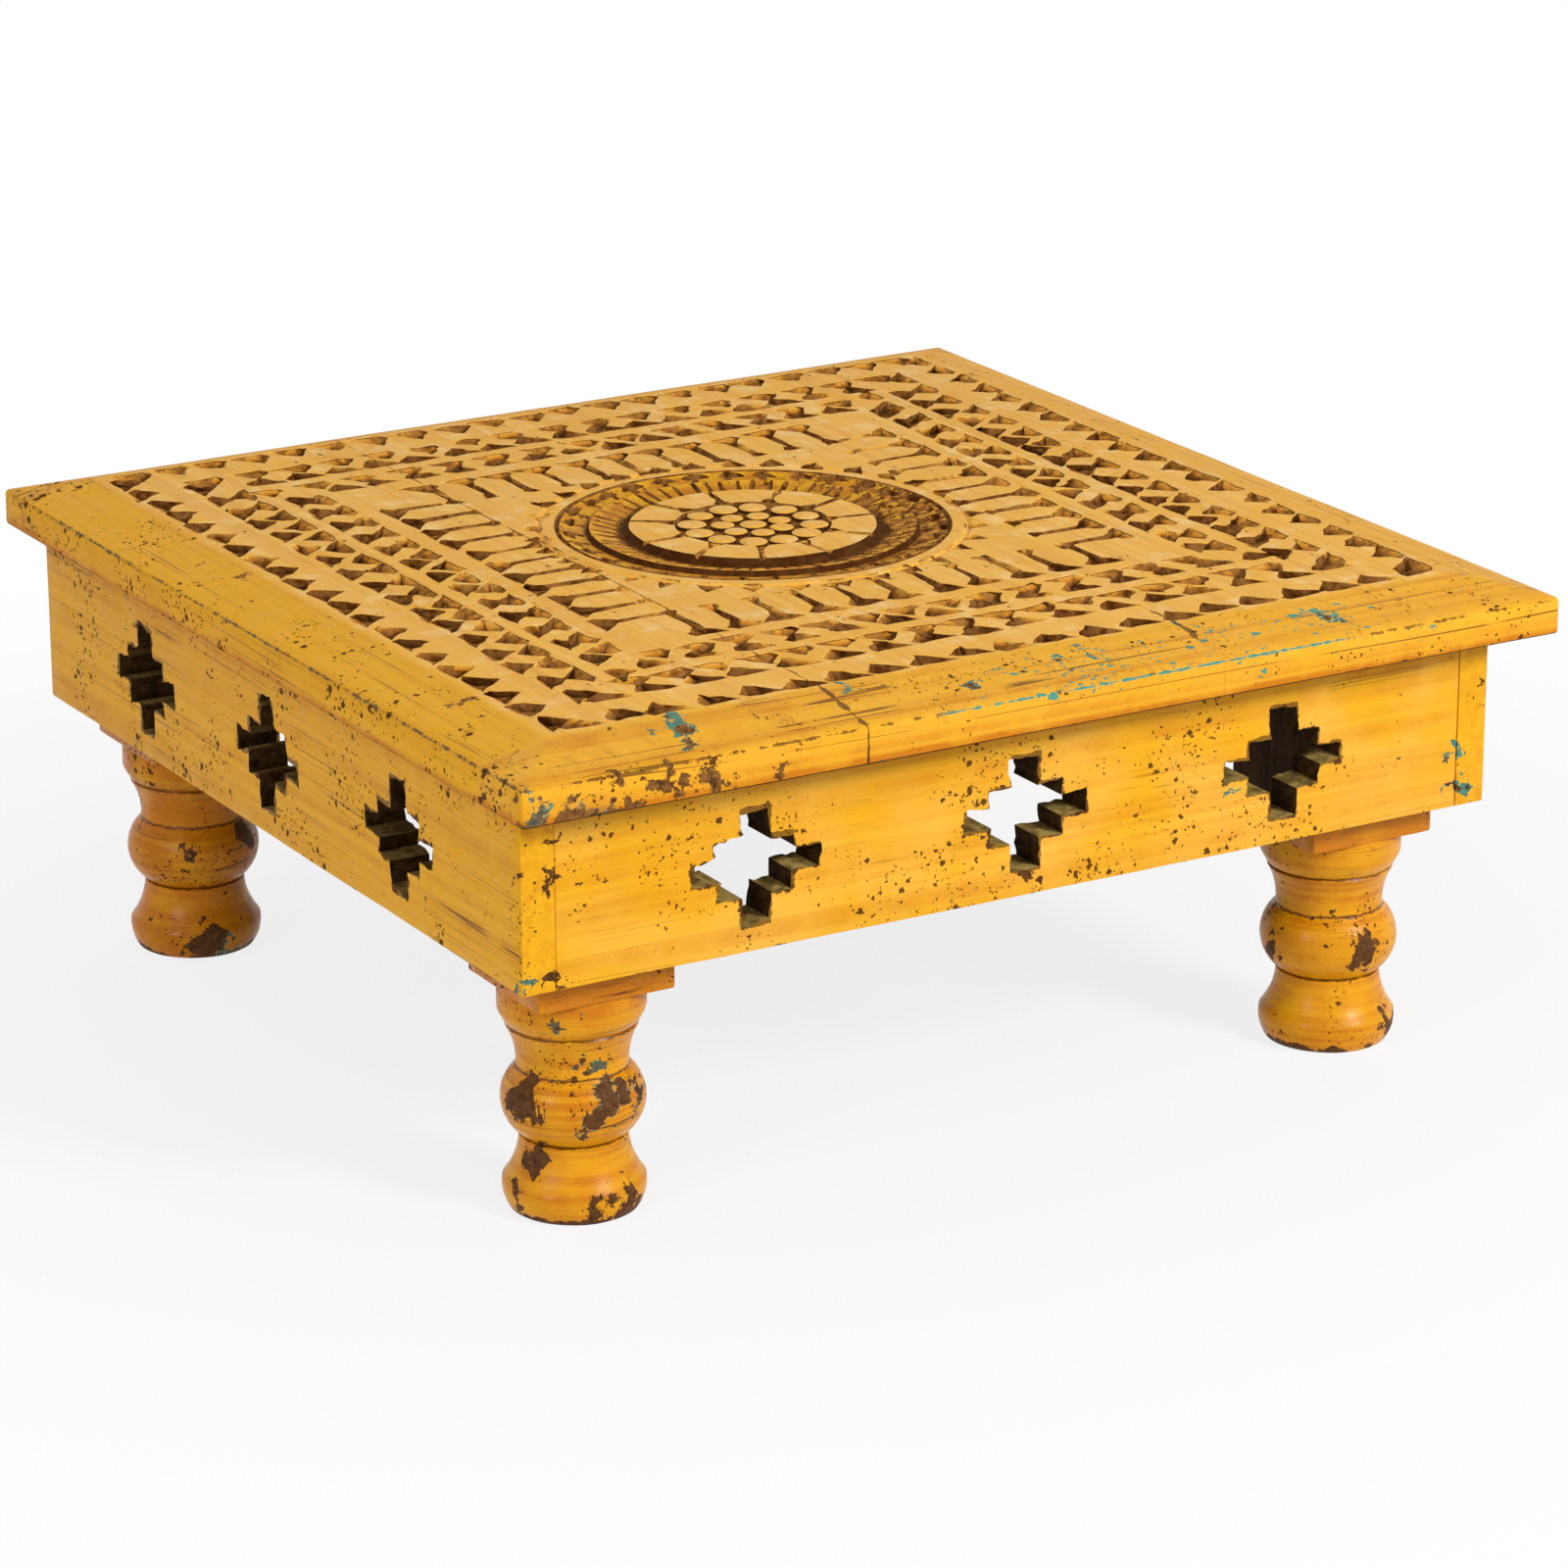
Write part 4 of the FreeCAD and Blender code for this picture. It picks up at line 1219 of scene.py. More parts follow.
def finish_group(name):
    """The layers of the finish: stained paint, whose tone also carries painted shade where a material feeds
    it so, dark lines of dirt and of painted shade, undercoat, specks and bare wood.
    """
    colours = ("Paint", "Deep", "Stain", "Under", "Wood", "Soil_and_shade")
    masks = ("Tone", "Lines", "Spots", "Edge", "Undercoat", "Bare", "Gloss")
    inputs = {"Position": "vector"}
    inputs.update({socket: "colour" for socket in colours})
    inputs.update({socket: "value" for socket in masks})
    outputs = {"Color": "colour", "Roughness": "value", "Height": "value"}
    tree, given, result = new_group(name, inputs, outputs)
    mottle = noise(tree, given["Position"], 60.0, 5.0, 0.6)
    # The tone deepens the paint for stain, and for painted shade where a material puts it in
    stain_and_shade = times(tree, given["Tone"], spread(tree, mottle, 0.25, 0.75, 0.4, 1.2))
    paint = mix(tree, stain_and_shade, given["Paint"], given["Deep"])
    paint = mix(tree, times(tree, given["Lines"], 0.7), paint, given["Stain"])
    paint = mix(tree, given["Undercoat"], paint, given["Under"])
    # Dark lines: dirt and wear, and on the boards a painted contact shadow under the top
    paint = mix(tree, times(tree, given["Edge"], 0.75), paint, given["Soil_and_shade"])
    paint = mix(tree, times(tree, given["Spots"], 0.92), paint, given["Soil_and_shade"])
    fibres = spread(tree, noise(tree, given["Position"], 420.0, 4.0, 0.7), 0.3, 0.75)
    paint = mix(tree, given["Bare"], paint, mix(tree, fibres, given["Soil_and_shade"], given["Wood"]))
    lost = largest(tree, given["Bare"], given["Spots"])
    rough = spread(tree, noise(tree, given["Position"], 130.0, 4.0), 0.25, 0.75, -0.06, 0.08)
    rough = plus(tree, rough, given["Gloss"], times(tree, lost, 0.3))
    dip = plus(tree, times(tree, given["Bare"], 0.8), times(tree, given["Spots"], 0.6),
               times(tree, given["Undercoat"], 0.4), times(tree, given["Lines"], 0.3))
    grit = times(tree, noise(tree, given["Position"], 520.0, 4.0, 0.65), 0.3)
    height = minus(tree, plus(tree, grit, times(tree, mottle, 0.5)), dip)
    tree.links.new(paint, result["Color"])
    tree.links.new(rough, result["Roughness"])
    tree.links.new(height, result["Height"])
    return tree


def blank_material(name, shine):
    """A material with its shader, and the object coordinates its patterns read."""
    material = bpy.data.materials.new(name)
    material.use_nodes = True
    tree = material.node_tree
    shader = tree.nodes["Principled BSDF"]
    shader.inputs["Specular IOR Level"].default_value = shine
    coords = tree.nodes.new("ShaderNodeTexCoord")
    return material, tree, shader, coords.outputs["Object"]


def surface(tree, shader, color, rough, height, relief, strength=0.7):
    """Join a colour, a roughness and a relief to a shader."""
    feed(tree, shader.inputs["Base Color"], color)
    feed(tree, shader.inputs["Roughness"], rough)
    bump = put(tree, "ShaderNodeBump", {"Strength": strength, "Distance": relief, "Height": height})
    tree.links.new(bump, shader.inputs["Normal"])


def finish(tree, position, paint, masks):
    """The layers of the finish in the table's own colours."""
    inputs = {"Position": position, "Paint": paint.ochre, "Deep": paint.ochre_deep, "Stain": paint.stain,
              "Under": paint.undercoat, "Wood": paint.bare_wood, "Soil_and_shade": paint.dirt_and_shade}
    inputs.update(masks)
    return use_group(tree, group_of("Worn finish", finish_group), inputs)


def bare_inside(tree, shader, layers, inside, old_wood, relief=0.0004):
    """Show the paint outside and dark wood where a mask says inside."""
    color = mix(tree, inside, layers["Color"], old_wood["Color"])
    rough = largest(tree, layers["Roughness"], times(tree, inside, 0.8))
    surface(tree, shader, color, rough, layers["Height"], relief)


def old_wood_of(tree, position, stretch, paint):
    """Dark unpainted wood, partly painted shade, with its grain along a direction."""
    return use_group(tree, group_of("Old wood", wood_group),
                     {"Position": position, "Stretch": stretch, "Dark": paint.inside_dark_and_shade,
                      "Light": paint.inside_light})


def grain_of(tree, position, stretch, amount):
    """Lines, streaks and cracks of the grain along a direction."""
    return use_group(tree, group_of("Board grain", grain_group),
                     {"Position": position, "Stretch": stretch, "Amount": amount})


def specks_of(tree, position, cells, radius):
    """Small dark specks, with so many cells to a metre and a radius as a share of a cell."""
    return use_group(tree, group_of("Speckle", speckle_group),
                     {"Position": position, "Cells": cells, "Radius": radius})["Spots"]


def flakes_of(tree, position, wear, teal):
    """Bare places, the dark line round them, and undercoat, where the paint is worn."""
    return use_group(tree, group_of("Flaking", flake_group),
                     {"Position": position, "Wear": wear, "Cover": PAINT_HOLD, "Teal": teal})


def arris_of(tree, position, low, high):
    """Distance to the nearest edge of a box."""
    return use_group(tree, group_of("Box arris", arris_group),
                     {"Position": position, "Low": low, "High": high})["Distance"]


def worn_places(tree, position, places, near=None):
    """How bare a piece is at its worn places, and how much undercoat they show."""
    group = group_of("Worn spot", spot_group)
    for scale, reach in ((85.0, 0.030), (330.0, 0.010)):
        position = shaken(tree, position, scale, reach)
    wear = 0.0
    teal = 0.0
    for place, reach, bare, under in places:
        if near is None or (Vector(place) - near).length < 0.1:
            mask = use_group(tree, group, {"Position": position, "Place": place, "Radius": reach})["Mask"]
            wear = largest(tree, times(tree, mask, bare), wear)
            teal = largest(tree, times(tree, mask, under), teal)
    return wear, teal


def facing_up(tree):
    """How far a surface faces up: 1 level, 0 upright, -1 facing down."""
    return parts_of(tree, put(tree, "ShaderNodeNewGeometry", out=1))[2]


def square_distance(tree, x, y, middle_x, middle_y):
    """Distance from the middle of a square, measured so that its sides are level."""
    side_x = unsigned(tree, minus(tree, x, middle_x))
    side_y = unsigned(tree, minus(tree, y, middle_y))
    return largest(tree, side_x, side_y)


def seam_cracks(tree, position, x, y):
    """Dark jagged lines along the seams: one opened across the front bevel, one where the bevel starts."""
    drift = stray(tree, position, 150.0, 0.0026)
    ragged = spread(tree, noise(tree, position, 95.0, 3.0), 0.36, 0.62, 0.1, 1.3)
    bevel = times(tree, spread(tree, y, -0.188, -0.2), spread(tree, y, -0.2246, -0.222, 0.25, 1.0))
    ridge = times(tree, spread(tree, y, -0.172, -0.182), spread(tree, y, -0.208, -0.203))
    seams = ((SEAM_LEFT, 0.0004, 0.0010, bevel), (SEAM_RIGHT, 0.0001, 0.0017, ridge))
    cracks = 0.0
    for place, width, opened, where in seams:
        away = unsigned(tree, plus(tree, minus(tree, x, place), drift))
        reach = times(tree, plus(tree, times(tree, where, opened), width), ragged)
        cracks = largest(tree, spread(tree, minus(tree, reach, away), 0.0, 0.00015), cracks)
    return cracks


def teal_dots(tree, position, x, y):
    """Small dots of undercoat scattered over the right of the front bevel."""
    zone = times(tree, spread(tree, y, -0.196, -0.201), spread(tree, x, -0.05, 0.0))
    zone = times(tree, zone, spread(tree, x, 0.19, 0.1, 0.4, 1.0))
    flat = vector_calc(tree, "MULTIPLY", position, (0.55, 1.0, 1.0))
    return specks_of(tree, flat, 330.0, times(tree, zone, 0.66))


def rim_lines(tree, position, x, y, distance):
    """Thin worn lines along the upper arris of the rim: dark ones, and teal ones at the front and left."""
    ragged = stray(tree, position, 260.0, 0.0034, 0.65)
    line = spread(tree, plus(tree, distance, ragged), 0.0009, 0.0006)
    broken = spread(tree, noise(tree, position, 40.0, 5.0, 0.65), 0.44, 0.5)
    front = times(tree, spread(tree, y, -0.2, -0.215), spread(tree, x, -0.06, -0.045))
    front = times(tree, front, spread(tree, x, 0.135, 0.115))
    left = times(tree, spread(tree, x, -0.2, -0.215, 0.0, 0.25), broken)
    steady = spread(tree, plus(tree, distance, times(tree, ragged, 0.6)), 0.0011, 0.0007)
    teal = times(tree, steady, largest(tree, front, left))
    thin = spread(tree, plus(tree, distance, times(tree, ragged, 0.4)), 0.0009, 0.0004)
    along_left = times(tree, thin, spread(tree, x, -0.2, -0.215, 0.0, 0.8))
    dark = times(tree, line, broken, minus(tree, 1.0, front))
    return largest(tree, dark, along_left), teal


def field_material(top, paint):
    """Paint of the top, worn along its edges and between the carved bands, with bare wood below."""
    material, tree, shader, position = blank_material("painted_top", shine=0.12)
    x, y, z = parts_of(tree, position)
    half = top.field_side / 2
    square = square_distance(tree, x, y, top.field_shift_x, top.field_shift_y)
    outside = minus(tree, SLAB_HIGH.x, square_distance(tree, x, y, 0.0, 0.0))
    rim = minus(tree, z, SLAB_HIGH.z - top.bevel_drop)
    rim_distance = calc(tree, "SQRT", plus(tree, times(tree, outside, outside), times(tree, rim, rim)))
    arris = arris_of(tree, position, SLAB_LOW, SLAB_HIGH)
    edge_wear = spread(tree, smaller(tree, rim_distance, arris), 0.005, 0.0, 0.0, 0.72)
    field_wear = spread(tree, square, half - 0.001, half - 0.004, 0.0, 0.3)
    places, teal = worn_places(tree, position, TOP_WEAR)
    dark_line, teal_line = rim_lines(tree, position, x, y, rim_distance)
    bevel = spread(tree, square, half - 0.002, half + 0.002)
    grain = grain_of(tree, position, (700, 7, 700), spread(tree, bevel, 0.0, 1.0, 0.35, 1.0))
    speck = times(tree, bevel, spread(tree, x, -0.1, -0.19, 0.16, 0.34))
    spots = specks_of(tree, position, 290.0, plus(tree, speck, 0.3))
    flakes = flakes_of(tree, position, largest(tree, edge_wear, field_wear, places), teal)
    cracks = seam_cracks(tree, position, x, y)
    dots = teal_dots(tree, position, x, y)
    inside = spread(tree, square, half + 0.002, half - 0.004)
    ends = spread(tree, unsigned(tree, minus(tree, y, top.field_shift_y)), half - 0.002, half + 0.002)
    # The level field is painted paler than the bevel: faded paint and painted sheen; its palest patches are
    # thin paint and painted highlights
    faded = times(tree, largest(tree, inside, times(tree, ends, 0.3)),
                  spread(tree, noise(tree, position, 30.0, 4.0), 0.3, 0.7, 0.5, 1.0))
    pale_and_sheen = mix(tree, faded, paint.ochre, paint.rubbed)
    chalky_and_highlight = spread(tree, noise(tree, position, 75.0, 4.0, 0.6), 0.5, 0.72, 0.0, 0.75)
    pale_and_sheen = mix(tree, times(tree, inside, chalky_and_highlight), pale_and_sheen, paint.chalky_and_highlight)
    brushed = grain_of(tree, position, (9, 500, 500), 2.0)
    tone = largest(tree, times(tree, grain["Streaks"], 0.35),
                   times(tree, brushed["Streaks"], times(tree, ends, 0.75)))
    tone = plus(tree, tone, spread(tree, z, SLAB_LOW.z + 0.0045, SLAB_LOW.z + 0.001))
    cracks = largest(tree, cracks, times(tree, brushed["Cracks"], ends))
    lines = times(tree, grain["Lines"], spread(tree, minus(tree, bevel, ends), 0.0, 1.0, 0.35, 0.9))
    layers = finish(tree, position, paint,
                    {"Paint": pale_and_sheen, "Tone": tone, "Wood": paint.cut_light, "Lines": lines, "Spots": spots,
                     "Edge": largest(tree, flakes["Line"], dark_line, cracks),
                     "Undercoat": largest(tree, flakes["Undercoat"], teal_line, dots),
                     "Bare": flakes["Bare"], "Gloss": 0.5})
    below = spread(tree, facing_up(tree), -0.3, -0.6)
    bare_inside(tree, shader, layers, below, old_wood_of(tree, position, (420, 14, 420), paint))
    return material


def soiled_and_shaded_wood(tree, position, depth, steep, light, deep_share, steep_share, paint):
    """Worn wood in a cut, darkened where it lies deep and where it is steep: dirt, and painted shade on the
    steep walls.
    """
    cloud = noise(tree, position, 240.0, 4.0)
    old = mix(tree, spread(tree, cloud, *light), paint.cut_dark, paint.cut_light)
    deep = spread(tree, depth, 0.0018, 0.0034, 0.0, deep_share)
    return mix(tree, largest(tree, deep, times(tree, steep, steep_share)), old, paint.dirt_and_shade)


def gritty_cut(tree, shader, position, dirt_and_shade, clean, old, clean_rough):
    """Join the clean paint and the dark parts of a cut, dirt and painted shade, to a shader, with a gritty
    relief.
    """
    rough = spread(tree, dirt_and_shade, 0.0, 1.0, clean_rough, 0.8)
    grit = noise(tree, position, 420.0, 5.0, 0.7)
    surface(tree, shader, mix(tree, dirt_and_shade, clean, old), rough, grit, relief=0.0006)


def recess_material(paint):
    """The carved cuts: painted floors that darken toward their deep points, and dark steep walls; the dark is
    dirt and painted shade.
    """
    material, tree, shader, position = blank_material("carved_recess", shine=0.05)
    depth = minus(tree, SLAB_HIGH.z, parts_of(tree, position)[2])
    # Steep walls are dark: dirt, and painted shade on the walls
    steep = spread(tree, facing_up(tree), 0.84, 0.68)
    deep = spread(tree, plus(tree, depth, stray(tree, position, 320.0, 0.0014)), 0.0013, 0.0019)
    bare = spread(tree, noise(tree, position, 110.0, 5.0, 0.66), 0.45, 0.53, 0.0, 0.8)
    old = soiled_and_shaded_wood(tree, position, depth, steep, light=(0.34, 0.6), deep_share=0.5, steep_share=0.2,
                      paint=paint)
    # Painted shade: the paint of a floor deepens toward the deep point of the cut
    clean = mix(tree, spread(tree, depth, 0.0, 0.0016, 0.1, 0.9), paint.rubbed, paint.ochre_deep)
    dirt_and_shade = largest(tree, steep, deep, bare)
    gritty_cut(tree, shader, position, dirt_and_shade, clean, old, clean_rough=0.5)
    return material


def tier_material(paint):
    """The sunken tiers: painted slopes, dark on the steps and in the lowest parts, which is dirt and painted
    shade, and darker on the right.
    """
    material, tree, shader, position = blank_material("carved_tiers", shine=0.05)
    x, y, z = parts_of(tree, position)
    depth = minus(tree, SLAB_HIGH.z, z)
    ragged = times(tree, stray(tree, position, 220.0, 0.003), 0.5)
    # The lowest parts and the steps are dark: dirt, and painted shade in the deep valleys and on the steps
    low = spread(tree, plus(tree, depth, ragged), 0.0021, 0.0027)
    step = spread(tree, facing_up(tree), 0.86, 0.74)
    right = spread(tree, minus(tree, x, times(tree, y, 0.6)), -0.01, 0.06, 0.0, 0.12)
    patchy = spread(tree, plus(tree, noise(tree, position, 260.0, 6.0, 0.65), right), 0.585, 0.645)
    old = soiled_and_shaded_wood(tree, position, depth, step, light=(0.4, 0.66), deep_share=0.8, steep_share=0.85,
                      paint=paint)
    cloud = noise(tree, position, 120.0, 4.0)
    clean = mix(tree, spread(tree, cloud, 0.35, 0.7), paint.ochre, paint.ochre_deep)
    clean = mix(tree, spread(tree, depth, 0.0004, 0.0016, 0.0, 0.2), clean, paint.stain)
    dirt_and_shade = largest(tree, low, step, patchy)
    gritty_cut(tree, shader, position, dirt_and_shade, clean, old, clean_rough=0.45)
    return material


def board_material(side, axis, board, paint):
    """Paint of one frame board, worn along its edges and round its cut-outs, with bare wood inside."""
    material, tree, shader, position = blank_material("painted_board_" + side, shine=0.12)
    look = BOARD_LOOKS[axis]
    low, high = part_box("apron_" + side)
    parts = parts_of(tree, position)
    arris = arris_of(tree, position, low, high)
    rim = cutout_rim(tree, parts, axis, board)
    ragged = stray(tree, position, 260.0, 0.0034, 0.65)
    rim_line = spread(tree, plus(tree, rim, ragged), 0.0007, 0.0004)
    # A thin dark line just below the top: dirt, and painted contact shadow
    under_top = spread(tree, plus(tree, parts[2], ragged), high[2] - 0.0012, high[2] - 0.0008)
    places, teal = worn_places(tree, position, BOARD_WEAR)
    edge_wear = spread(tree, arris, 0.003, 0.0, 0.0, 0.7)
    rim_wear = spread(tree, rim, 0.0045, 0.0, 0.0, 0.95)
    shadow = spread(tree, parts[2], high[2] - 0.014, high[2], 0.0, 0.6)
    grain = grain_of(tree, position, look["grain"], look["amount"])
    radius = look["speck"] if axis else spread(tree, parts[0], -0.165, -0.2, look["speck"], 0.74)
    spots = specks_of(tree, position, look["cells"], radius)
    flakes = flakes_of(tree, position, largest(tree, edge_wear, rim_wear, places), teal)
    end = board_end(tree, parts, axis, low, high)
    cracks = minus(tree, times(tree, grain["Cracks"], look["cracks"]), end, clamp=True)
    lines = minus(tree, times(tree, grain["Lines"], look["lines"]), end, clamp=True)
    faded = spread(tree, noise(tree, position, 26.0, 4.0), 0.3, 0.7, 0.0, look["faded"])
    layers = finish(tree, position, paint,
                    {"Paint": mix(tree, faded, paint.ochre, paint.rubbed),
                     "Tone": plus(tree, times(tree, grain["Streaks"], 0.5), shadow),
                     "Lines": lines, "Spots": spots,
                     "Edge": largest(tree, flakes["Line"], rim_line, under_top, cracks),
                     "Undercoat": flakes["Undercoat"], "Bare": flakes["Bare"], "Gloss": 0.42})
    inside = inner_side(tree, parts, axis, low, high, side in ("front", "left"))
    bare_inside(tree, shader, layers, inside, old_wood_of(tree, position, look["grain"], paint))
    return material


def inner_side(tree, parts, axis, low, high, faces_low):
    """One for the inner part of a board's thickness, away from its ends."""
    thickness = 1 - axis
    outer, inner = (low, high) if faces_low else (high, low)
    run = inner[thickness] - outer[thickness]
    start = outer[thickness] + run * 0.25
    inside = spread(tree, parts[thickness], start, start + run * 0.1)
    return minus(tree, inside, board_end(tree, parts, axis, low, high), clamp=True)


def board_end(tree, parts, axis, low, high):
    """One on the two ends of a board."""
    half = (high[axis] - low[axis]) / 2
    along = unsigned(tree, minus(tree, parts[axis], (low[axis] + high[axis]) / 2))
    return spread(tree, along, half - 0.002, half - 0.001)


def cutout_rim(tree, parts, axis, board):
    """Distance to the rim of the nearest cut-out of a frame board."""
    low, high = cutout_ends(axis, board)
    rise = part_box("apron_front")[0][2] + board.cutout_rise
    return use_group(tree, group_of("Cut-out rim", rim_group),
                     {"Along": minus(tree, parts[axis], (low + high) / 2),
                      "Rise": minus(tree, parts[2], rise), "Pitch": (high - low) / 2})["Distance"]


def sawn_material(name, paint, dust_and_light):
    """Walls of the cut-outs: dark, and lighter on the parts that face up: old paint and dust, and painted
    light.
    """
    material, tree, shader, position = blank_material(name, shine=0.05)
    wood = old_wood_of(tree, position, (300, 300, 300), paint)
    # Painted light: the faces that look up are lighter, together with their old paint and dust
    level = spread(tree, facing_up(tree), 0.3, 0.8)
    cloud = noise(tree, position, 160.0, 5.0)
    patchy = times(tree, level, spread(tree, cloud, 0.35, 0.6, 0.3 * dust_and_light, dust_and_light))
    color = mix(tree, patchy, wood["Color"], paint.ledge)
    surface(tree, shader, color, rough=0.7, height=wood["Height"], relief=0.0005)
    return material


def leg_material(corner, low, high, paint):
    """Paint of one leg, with turning lines, flaked patches on its swells and a worn foot."""
    material, tree, shader, position = blank_material("painted_leg_" + corner, shine=0.17)
    x, _, z = parts_of(tree, position)
    middle = Vector(((low.x + high.x) / 2, (low.y + high.y) / 2, 0))
    centred = vector_calc(tree, "SUBTRACT", position, middle)
    level = vector_calc(tree, "MULTIPLY", centred, (1, 1, 0))
    radius = put(tree, "ShaderNodeVectorMath", {0: level}, out=1, operation="LENGTH")
    turned = put(tree, "ShaderNodeCombineXYZ", {"X": times(tree, radius, 0.3), "Y": x, "Z": z})
    places, teal = worn_places(tree, position, LEG_WEAR, middle)
    swells = spread(tree, radius, 0.0235, 0.0275, 0.0, 0.52)
    foot = spread(tree, z, 0.008, 0.0, 0.0, 1.25)
    ragged = stray(tree, position, 300.0, 0.0024, 0.65)
    crease = 0.0
    for height in LEG_CREASES:
        away = unsigned(tree, minus(tree, plus(tree, z, ragged), height))
        crease = largest(tree, spread(tree, away, 0.0007, 0.0003), crease)
    # Painted shade: the square head, which stands in the shade under the boards, takes a deeper tone
    head = spread(tree, z, 0.0865, 0.0875, 0.0, 0.6)
    grain = grain_of(tree, turned, (900, 14, 1300), 0.9)
    spots = specks_of(tree, position, 360.0, 0.6)
    flakes = flakes_of(tree, position, largest(tree, swells, foot, places), teal)
    # The tone is the stain of the paint, with painted shade on the head and on the leg that stands in the
    # table's shade
    stain_and_shade = plus(tree, head, SHADED_LEG_STAIN_AND_SHADE if corner == SHADED_LEG else LEG_STAIN)
    layers = finish(tree, position, paint,
                    {"Tone": plus(tree, times(tree, grain["Streaks"], 0.6), stain_and_shade),
                     "Lines": times(tree, grain["Lines"], 0.7), "Spots": spots,
                     "Edge": largest(tree, flakes["Line"], grain["Cracks"], crease),
                     "Undercoat": flakes["Undercoat"], "Bare": flakes["Bare"], "Gloss": 0.3})
    board_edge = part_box("apron_front")[0][2]
    behind = spread(tree, z, board_edge + 0.0002, board_edge + 0.0008)
    bare_inside(tree, shader, layers, behind, old_wood_of(tree, position, (420, 420, 14), paint))
    return material


# Fixings hidden in the wood
class TABLE_OT_fixings(bpy.types.Operator):
    """Give the nails and dowels inside the wood their finish"""
    bl_idname = "table.fixings"
    bl_label = "Nails and dowels"

    def execute(self, context):
        steel = fixing_material("nail_steel", light=shade(120, 112, 104), dark=shade(92, 60, 40), metal=1.0,
                                scale=300.0)
        wood = fixing_material("dowel_wood", light=shade(190, 150, 104), dark=shade(140, 100, 62), metal=0.0,
                               scale=180.0)
        for name, node in frame["nodes"].items():
            if "nails" in name or "dowels" in name:
                node.data.materials.clear()
                node.data.materials.append(steel if "nails" in name else wood)
        return {"FINISHED"}


def fixing_material(name, light, dark, metal, scale):
    """Plain metal or wood with a little variation."""
    material, tree, shader, position = blank_material(name, shine=0.5)
    cloud = noise(tree, position, scale, 5.0, 0.6)
    color = mix(tree, spread(tree, cloud, 0.4, 0.7), light, dark)
    rough = spread(tree, cloud, 0.3, 0.7, 0.35, 0.7)
    surface(tree, shader, color, rough, cloud, relief=0.0002, strength=0.4)
    shader.inputs["Metallic"].default_value = metal
    return material


# Stage
class StageSettings(bpy.types.PropertyGroup):
    """Camera and lights."""
    azimuth: figure("Azimuth", "Camera turn from the front, in degrees", -30.33)
    elevation: figure("Elevation", "Camera tilt down, in degrees", 18.62)
    roll: figure("Roll", "Camera roll, in degrees", -0.23)
    place: bpy.props.FloatVectorProperty(name="Place", description="Camera place", size=3, unit="LENGTH",
                                         default=(-1.1232, -1.9404, 0.8397))
    lens: figure("Lens", "Focal length in millimetres", 135.44)


def camera_matrix(stage):
    """Where the camera stands and how it is turned."""
    azimuth, elevation, roll = (math.radians(angle) for angle in (stage.azimuth, stage.elevation, stage.roll))
    back = Vector((math.sin(azimuth) * math.cos(elevation), -math.cos(azimuth) * math.cos(elevation),
                   math.sin(elevation)))
    right = Vector((math.cos(azimuth), math.sin(azimuth), 0))
    above = back.cross(right)
    turned_right = math.cos(roll) * right + math.sin(roll) * above
    turned_above = -math.sin(roll) * right + math.cos(roll) * above
    matrix = Matrix((turned_right, turned_above, back)).transposed().to_4x4()
    matrix.translation = Vector(stage.place)
    return matrix


def soft_light(name, place, aim, size, power):
    """A square lamp that faces a point."""
    lamp = bpy.data.lights.new(name, "AREA")
    lamp.shape = "SQUARE"
    lamp.size = size
    lamp.energy = power
    light = bpy.data.objects.new(name, lamp)
    bpy.context.collection.objects.link(light)
    light.location = place
    light.rotation_euler = (Vector(aim) - Vector(place)).to_track_quat("-Z", "Y").to_euler()


def seen_or_mirrored(tree):
    """One for rays that come from the camera, a mirror or glass, and nought for the rest."""
    rays = tree.nodes.new("ShaderNodeLightPath").outputs
    return largest(tree, rays["Is Camera Ray"], rays["Is Glossy Ray"], rays["Is Transmission Ray"])


def blend_shaders(tree, mask, lit, seen, output):
    """Join two shaders to an output: the first where a mask is nought, the second where it is one."""
    blend = tree.nodes.new("ShaderNodeMixShader")
    for index, value in enumerate((mask, lit, seen)):
        tree.links.new(value, blend.inputs[index])
    tree.links.new(blend.outputs[0], tree.nodes[output].inputs["Surface"])


def floor_material():
    """Pale floor that looks white and still takes a soft shadow."""
    material, tree, shader, position = blank_material("pale_floor", shine=0.0)
    shader.inputs["Base Color"].default_value = FLOOR_GREY
    shader.inputs["Roughness"].default_value = 0.9
    white = put(tree, "ShaderNodeEmission", {"Color": WHITE, "Strength": 1.0})
    distance = put(tree, "ShaderNodeVectorMath", {0: position}, out=1, operation="LENGTH")
    plain = spread(tree, distance, 0.25, 0.75, 0.82, 1.0)
    mask = times(tree, seen_or_mirrored(tree), plain)
    blend_shaders(tree, mask, shader.outputs[0], white, "Material Output")
    return material


def white_world(strength):
    """White all round: plain for what is seen, softer for what it lights."""
    world = bpy.data.worlds.new("studio")
    world.use_nodes = True
    tree = world.node_tree
    lit = tree.nodes["Background"]
    lit.inputs["Color"].default_value = WHITE
    lit.inputs["Strength"].default_value = strength
    seen = put(tree, "ShaderNodeBackground", {"Color": WHITE, "Strength": 1.0})
    blend_shaders(tree, seen_or_mirrored(tree), lit.outputs[0], seen, "World Output")
    bpy.context.scene.world = world


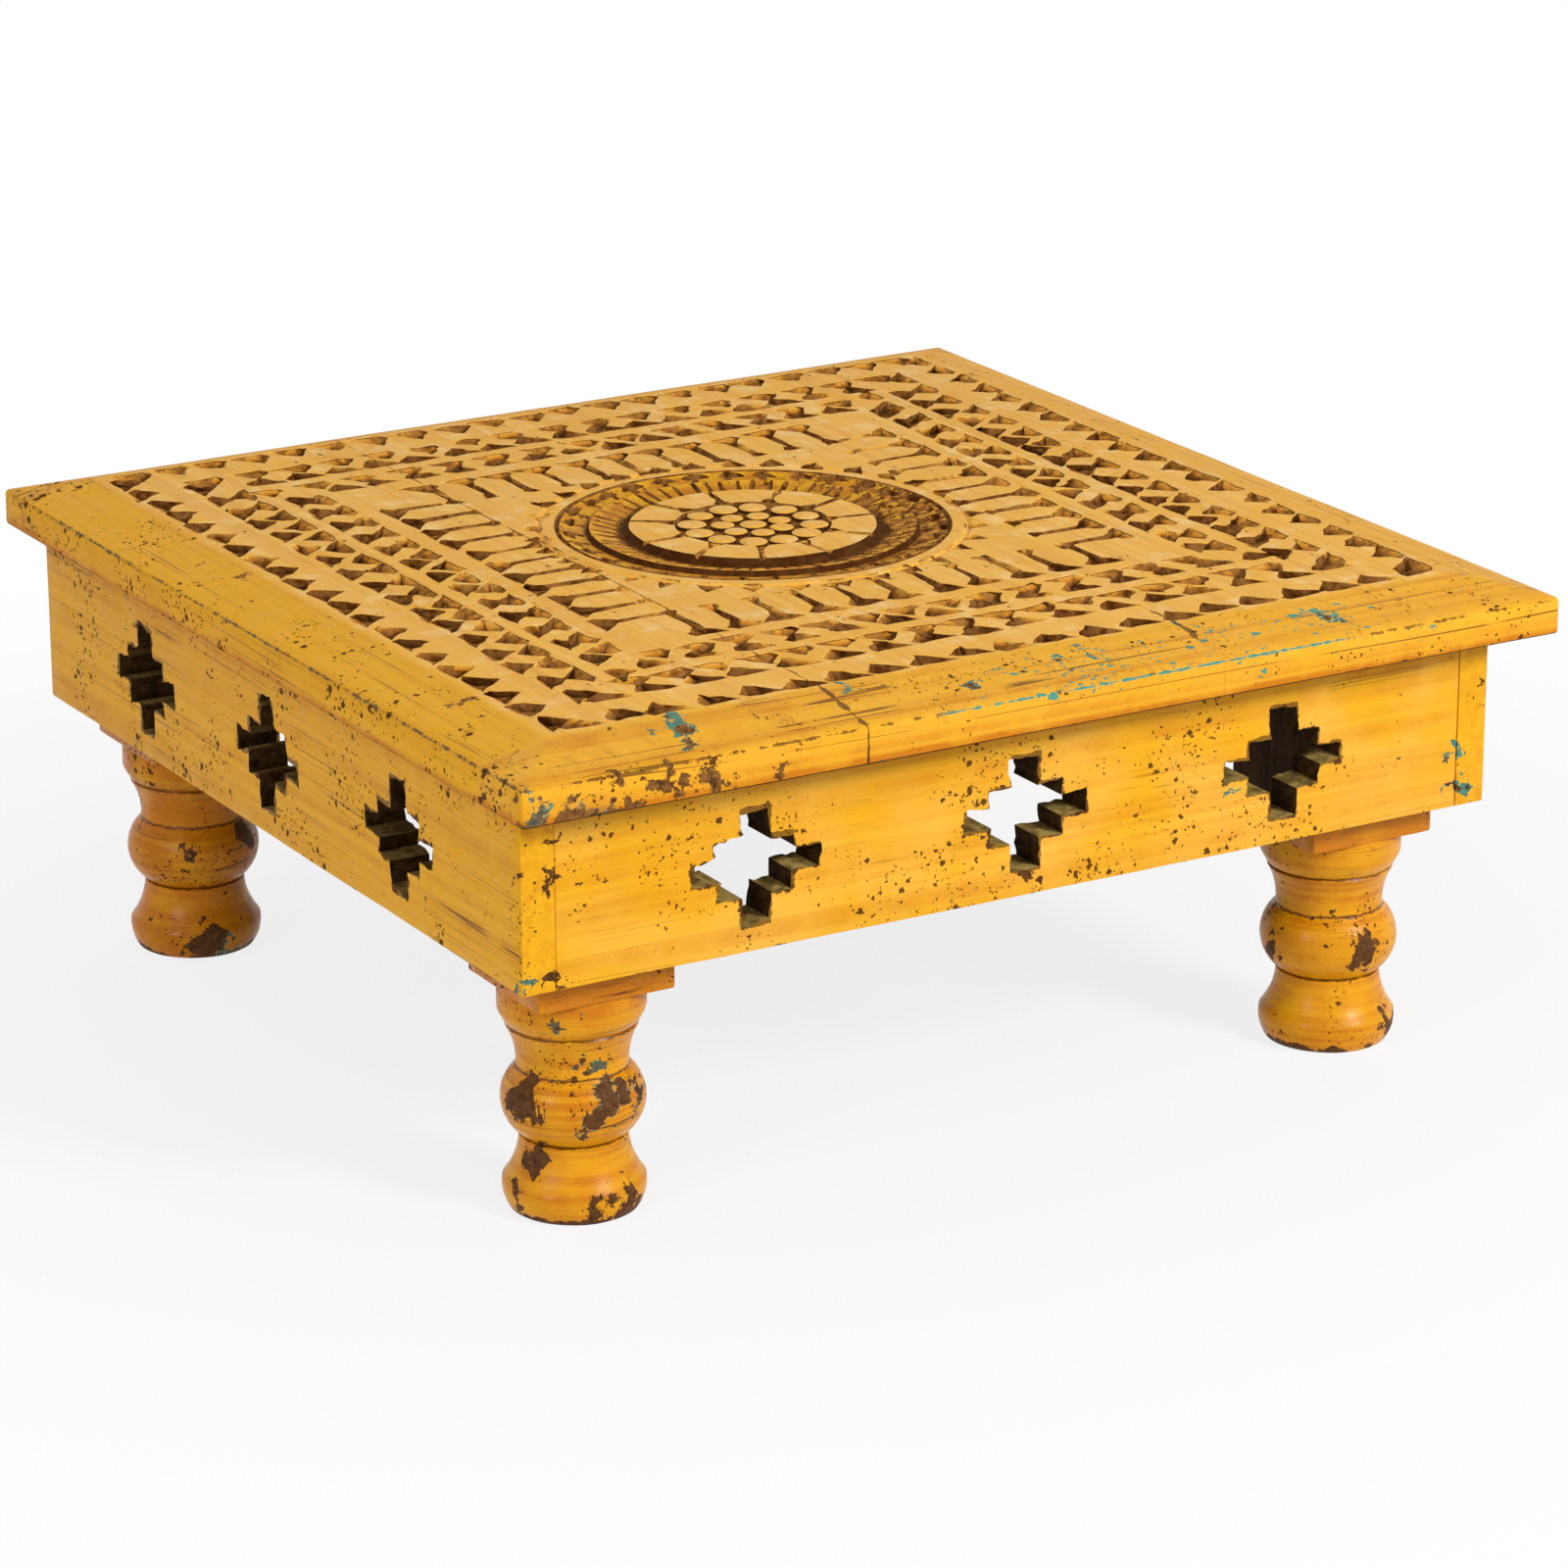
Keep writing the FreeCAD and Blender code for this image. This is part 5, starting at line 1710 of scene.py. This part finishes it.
class TABLE_OT_stage(bpy.types.Operator):
    """Set the pale floor, the soft lights and the camera"""
    bl_idname = "table.stage"
    bl_label = "Stage"

    def execute(self, context):
        stage = context.scene.table_stage
        fresh()
        bpy.ops.mesh.primitive_plane_add(size=FLOOR_SIDE, location=(0, 0, FLOOR_HEIGHT))
        floor = context.object
        floor.name = "floor"
        floor.data.transform(Matrix.Translation(floor.location))
        floor.location = (0, 0, 0)
        floor.data.materials.append(floor_material())
        white_world(WORLD_LIGHT)
        for lamp in LAMPS:
            soft_light(*lamp)
        camera = bpy.data.objects.new("camera", bpy.data.cameras.new("camera"))
        context.collection.objects.link(camera)
        camera.matrix_world = camera_matrix(stage)
        camera.data.lens = stage.lens
        camera.data.sensor_width = SENSOR_WIDTH
        context.scene.camera = camera
        context.scene.view_settings.view_transform = "Standard"
        return {"FINISHED"}


class TABLE_PT_panel(bpy.types.Panel):
    """Lists the steps that build the table"""
    bl_idname = "TABLE_PT_panel"
    bl_label = "Carved table"
    bl_space_type = "VIEW_3D"
    bl_region_type = "UI"
    bl_category = "Carved table"

    def draw(self, context):
        for step in STEPS:
            self.layout.operator(step.bl_idname)


STEPS = (TABLE_OT_top, TABLE_OT_frame, TABLE_OT_legs, TABLE_OT_fixings, TABLE_OT_stage)
SETTINGS = {"table_top": TopSettings, "table_frame": FrameSettings, "table_legs": LegSettings,
            "table_paint": PaintSettings, "table_stage": StageSettings}


def register():
    """Make the settings, steps and panel known."""
    for name, settings in SETTINGS.items():
        bpy.utils.register_class(settings)
        setattr(bpy.types.Scene, name, bpy.props.PointerProperty(type=settings))
    for step in STEPS + (TABLE_PT_panel,):
        bpy.utils.register_class(step)


def unregister():
    """Take the settings, steps and panel away again."""
    for step in reversed(STEPS + (TABLE_PT_panel,)):
        bpy.utils.unregister_class(step)
    for name, settings in SETTINGS.items():
        delattr(bpy.types.Scene, name)
        bpy.utils.unregister_class(settings)


def main():
    """Build the table step by step."""
    register()
    bpy.ops.table.carved_top()
    bpy.ops.table.frame_boards()
    bpy.ops.table.turned_legs()
    bpy.ops.table.fixings()
    bpy.ops.table.stage()


if __name__ == "__main__":
    main()
